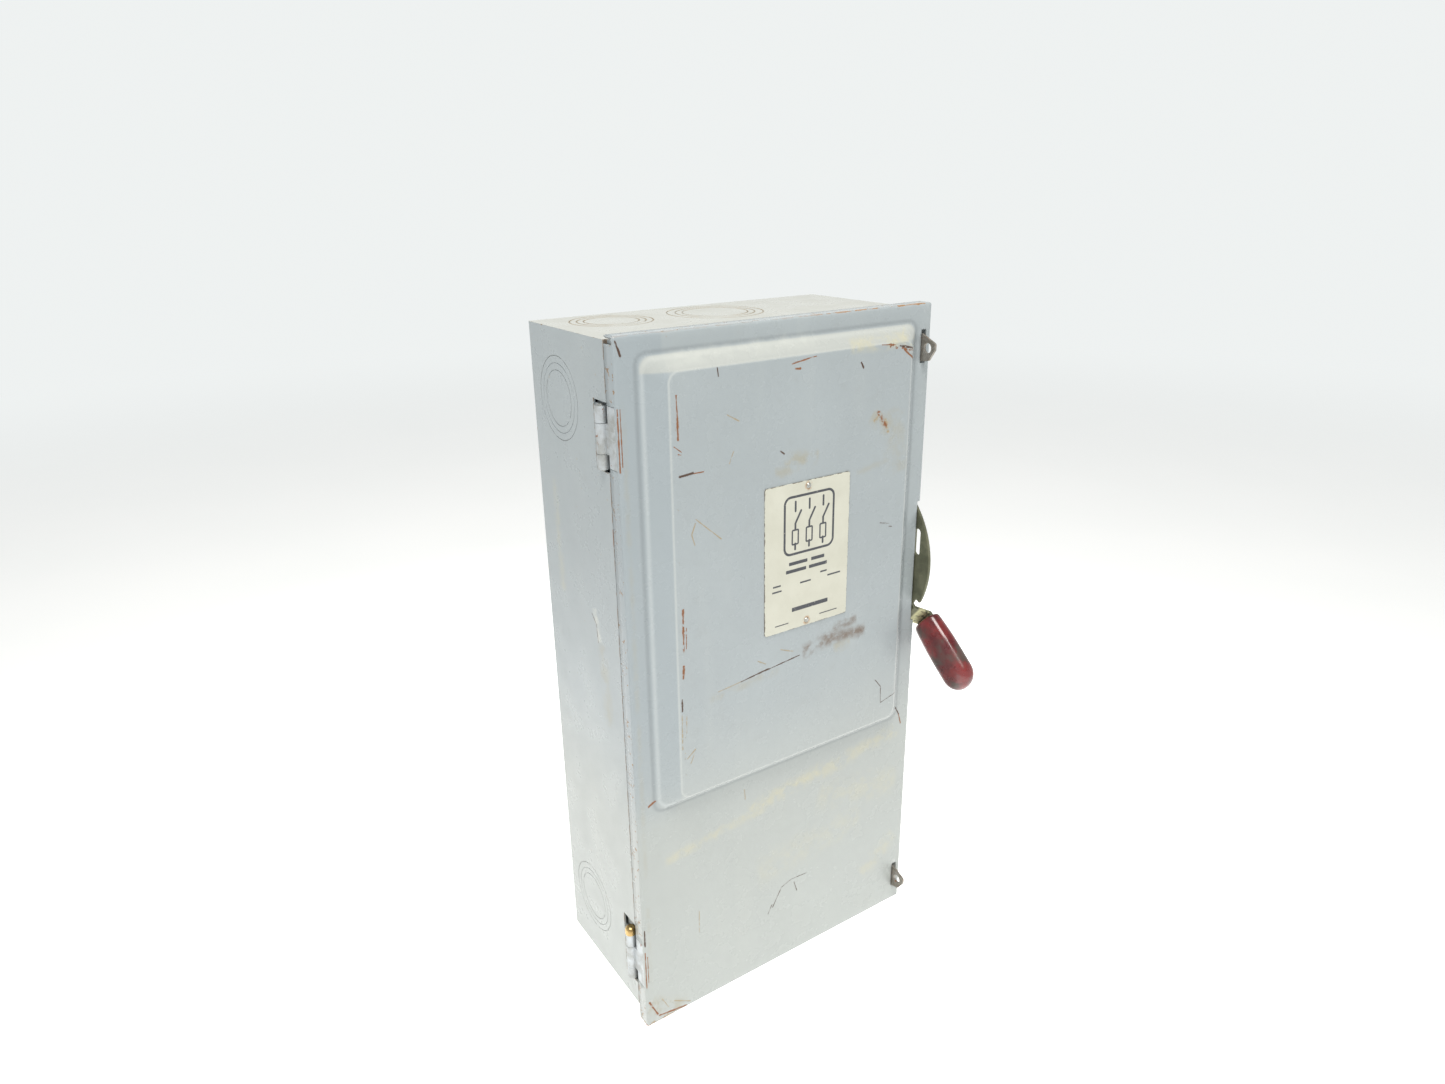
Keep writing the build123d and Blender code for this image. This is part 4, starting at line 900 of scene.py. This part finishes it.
def build_grip():
    along = Vector((0.0, -cos(ARM_ANGLE), -sin(ARM_ANGLE)))
    across = Vector((0.0, sin(ARM_ANGLE), -cos(ARM_ANGLE)))
    stations = LIP_RINGS + [GRIP_LIP + GRIP_RING_STEP * k for k in range(1, GRIP_RINGS + 1)]
    stations += [GRIP_LENGTH - GRIP_DOME * (1.0 - sin(radians(v))) for v in range(6, 90, 6)]
    points, faces = [], []
    for t in stations:
        share = grip_width(t)
        for k in range(GRIP_AROUND):
            c, e = cos(2 * pi * k / GRIP_AROUND), sin(2 * pi * k / GRIP_AROUND)
            x = GRIP_HALF[0] * share * copysign(abs(c) ** (2 / GRIP_SQUARENESS), c)
            v = GRIP_HALF[1] * share * copysign(abs(e) ** (2 / GRIP_SQUARENESS), e)
            points.append((PIVOT + along * (GRIP_START + t) + across * v + Vector((x, 0.0, 0.0))) * MM)
    for ring in range(0, (len(stations) - 1) * GRIP_AROUND, GRIP_AROUND):
        for k in range(GRIP_AROUND):
            a, b = ring + k, ring + (k + 1) % GRIP_AROUND
            faces.append((a, b, b + GRIP_AROUND, a + GRIP_AROUND))
    faces.append(tuple(reversed(range(GRIP_AROUND))))
    points.append((PIVOT + along * (GRIP_START + GRIP_LENGTH)) * MM)
    last, tip = (len(stations) - 1) * GRIP_AROUND, len(points) - 1
    faces += [(last + k, last + (k + 1) % GRIP_AROUND, tip) for k in range(GRIP_AROUND)]
    return new_piece("grip_sleeve", points, faces, materials["red_grip"], "handle",
                     ("handle_grip",))


smooth(build_grip(), 50.0)


# ---- seats behind the hinge barrels: a bent strip that closes each slot from inside ----
SEAT_RADII = (6.4, 7.1)
SEAT_ARC = range(-58, 41, 7)  # degrees round the hinge axis
SEAT_TAIL_Y = (-124.0, -120.5)
SEAT_RISE = (0.3, 2.0)  # the seat's lower and upper end above the slot's own


def build_seat(name, low, high):
    """A strip curled round the inner side of the barrel, with a straight tail along the wall."""
    rims = []
    for r in SEAT_RADII:
        rim = [(HINGE_AXIS[0] + r * cos(radians(v)), HINGE_AXIS[1] + r * sin(radians(v))) for v in SEAT_ARC]
        rims.append(rim + [(rim[-1][0], y) for y in SEAT_TAIL_Y])
    outline = rims[1] + rims[0][::-1]
    count = len(outline)
    points = [Vector((x, y, z)) * MM for z in (low, high) for x, y in outline]
    faces = [(k, (k + 1) % count, count + (k + 1) % count, count + k) for k in range(count)]
    for k in range(count // 2 - 1):
        a, b, c, d = k, k + 1, count - 2 - k, count - 1 - k
        faces += [(d, c, b, a), (count + a, count + b, count + c, count + d)]
    smooth(new_piece(name, points, faces, materials["grey_enamel"], "enclosure"), 30.0)


for name, (low, high) in zip(("hinge_seat_upper", "hinge_seat_lower"), HINGE_SLOTS_Z):
    build_seat(name, low + SEAT_RISE[0], high + SEAT_RISE[1])


# ---- finishes of the CAD nodes ----
# Radii of the rounded edges, with the nodes that have them. The other nodes get REST_RADIUS.
SOFT_EDGES = {
    0.7: ("enclosure_box",),
    0.5: ("switch_base", "load_base", "crossbar"),
    0.45: ("hasp_upper", "hasp_lower"),
    0.4: ("handle_nut", "handle_bushing", "ground_bar", "bushing_locknut"),
    0.35: ("handle_plate",),
    0.3: ("hinge_leaf_box_upper", "hinge_leaf_box_lower", "hinge_leaf_cover_upper", "hinge_leaf_cover_lower",
          "handle_shaft", "cover_catch", "mechanism_plate", "interlock_hook", "handle_crank",
          "crossbar_crank", "drive_link", "line_shield"),
    0.15: ("rating_plate",),
}
REST_RADIUS = 0.25
edge_radii = {name: radius for radius, names in SOFT_EDGES.items() for name in names}
slots = {part["node"]: part["material_slot"] for part in frame["record"]["subparts"]}
for name, obj in nodes.items():
    if name in ("cover", "handle_grip"):
        continue
    for place in obj.material_slots:
        place.material = hinge_zinc if name.startswith("hinge_leaf") else materials[slots[name]]
    soften(obj, edge_radii.get(name, REST_RADIUS))


# ---------------------------------------------------------------- floor, lights, camera (all in metres)
FLOOR_SIZE = 40.0
FLOOR_TONES = (0.84, 0.845, 0.84), (0.86, 0.86, 0.855)
GLOW_TONE = (1.0, 1.0, 0.985)
BACKDROP = (0.86, 0.885, 0.88)
HORIZON_STRENGTH, ZENITH_STRENGTH = 1.0, 0.35
SKY_FALL = (0.25, 0.75)  # from where the world dims upwards, and where it is dimmest, as its direction's z
# Painted light: the floor glows brightest in a pool round the box and dimmer further out.
POOL_GLOW, TABLE_GLOW = 0.90, 0.28
POOL_CENTRE, POOL_EDGE = (-0.05, -0.15), (0.6, 1.5)
TABLE_END = (1.3, 4.5)  # where the table starts to fade into the backdrop, and where it is gone
LAMP_PLACE, LAMP_TARGET, LAMP_SIZE = Vector((-0.45, -0.75, 2.3)), Vector((0.0, -0.1, 0.0)), 1.3
LAMP_POWER, LAMP_TONE = 64.0, (1.0, 0.985, 0.95)
CAMERA_PLACE = Vector((-0.5159, -0.8373, 0.4522))
CAMERA_AZIMUTH, CAMERA_ELEVATION, CAMERA_ROLL = radians(-33.275), radians(20.0), radians(-0.991)
CAMERA_LENS, SENSOR_WIDTH = 24.13, 36.0
CAMERA_SHIFT = (0.00523, -0.00412)


def place_in_scene(name, data):
    thing = bpy.data.objects.new(name, data)
    bpy.context.scene.collection.objects.link(thing)
    return thing


def floor_material():
    """A white table that glows, brightest in a painted pool of light round the box, and fades far out into
    the tone of the world behind it.
    """
    s = Shader("floor", Roughness=0.75, Specular_IOR_Level=0.2, Emission_Color=(*GLOW_TONE, 1.0))
    far = s.length(*(s.take(v, c) for v, c in zip((s.x, s.y), POOL_CENTRE)))
    s.finish(s.mix(s.ramp(s.noise(3.0, 3.0, 0.5), 0.3, 0.7), *FLOOR_TONES))
    # painted pool of light: the glow is strongest round the box and weaker further out
    s.put(s.surface.inputs["Emission Strength"], s.ramp(far, *POOL_EDGE, POOL_GLOW, TABLE_GLOW))
    beyond = s.node("ShaderNodeEmission")
    beyond.inputs["Color"].default_value = (*BACKDROP, 1.0)
    beyond.inputs["Strength"].default_value = HORIZON_STRENGTH
    blend = s.node("ShaderNodeMixShader")
    share_near_far = (s.ramp(far, *TABLE_END), s.surface.outputs[0], beyond.outputs[0])
    for socket, value in zip(blend.inputs, share_near_far):
        s.put(socket, value)
    s.put(s.output.inputs["Surface"], blend.outputs[0])
    return s.material


def build_floor():
    half = FLOOR_SIZE / 2
    mesh = bpy.data.meshes.new("floor")
    corners = [(-half, -half, 0), (half, -half, 0), (half, half, 0), (-half, half, 0)]
    mesh.from_pydata(corners, [], [(0, 1, 2, 3)])
    mesh.materials.append(floor_material())
    floor = place_in_scene("floor", mesh)
    floor.location.z = cad_low.z


def studio_world():
    """A pale room: bright at eye level, dimmer towards the ceiling."""
    world = bpy.data.worlds.new("studio")
    world.use_nodes = True
    tree = world.node_tree
    sky = tree.nodes["Background"]
    sky.inputs["Color"].default_value = (*BACKDROP, 1.0)
    direction = tree.nodes.new("ShaderNodeTexCoord")
    split = tree.nodes.new("ShaderNodeSeparateXYZ")
    fall = tree.nodes.new("ShaderNodeMapRange")
    fall.interpolation_type = "SMOOTHSTEP"
    for socket, value in zip(("From Min", "From Max", "To Min", "To Max"),
                             (*SKY_FALL, HORIZON_STRENGTH, ZENITH_STRENGTH)):
        fall.inputs[socket].default_value = value
    tree.links.new(direction.outputs["Generated"], split.inputs[0])
    tree.links.new(split.outputs["Z"], fall.inputs["Value"])
    tree.links.new(fall.outputs[0], sky.inputs["Strength"])
    return world


def build_lamp():
    """One large soft lamp overhead."""
    data = bpy.data.lights.new("overhead", "AREA")
    data.shape, data.size, data.size_y = "RECTANGLE", LAMP_SIZE, LAMP_SIZE
    data.energy, data.color = LAMP_POWER, LAMP_TONE
    lamp = place_in_scene("overhead", data)
    lamp.location = LAMP_PLACE
    lamp.rotation_mode = "QUATERNION"
    lamp.rotation_quaternion = (LAMP_TARGET - LAMP_PLACE).to_track_quat("-Z", "Y")


def build_camera():
    """The photograph's camera: its axes come from azimuth and elevation, then the roll turns them."""
    lens = bpy.data.cameras.new("camera")
    lens.lens, lens.sensor_width = CAMERA_LENS, SENSOR_WIDTH
    lens.shift_x, lens.shift_y = CAMERA_SHIFT
    lens.clip_start, lens.clip_end = 0.05, 100.0
    level = Vector((cos(CAMERA_AZIMUTH), sin(CAMERA_AZIMUTH), 0.0))
    back = Vector((sin(CAMERA_AZIMUTH) * cos(CAMERA_ELEVATION), -cos(CAMERA_AZIMUTH) * cos(CAMERA_ELEVATION),
                   sin(CAMERA_ELEVATION)))
    upward = back.cross(level)
    right = cos(CAMERA_ROLL) * level + sin(CAMERA_ROLL) * upward
    up = -sin(CAMERA_ROLL) * level + cos(CAMERA_ROLL) * upward
    camera = place_in_scene("camera", lens)
    camera.matrix_world = Matrix.Translation(CAMERA_PLACE) @ Matrix((right, up, back)).transposed().to_4x4()
    bpy.context.scene.camera = camera


build_floor()
bpy.context.scene.world = studio_world()
build_lamp()
build_camera()
bpy.context.scene.view_settings.view_transform = "Standard"
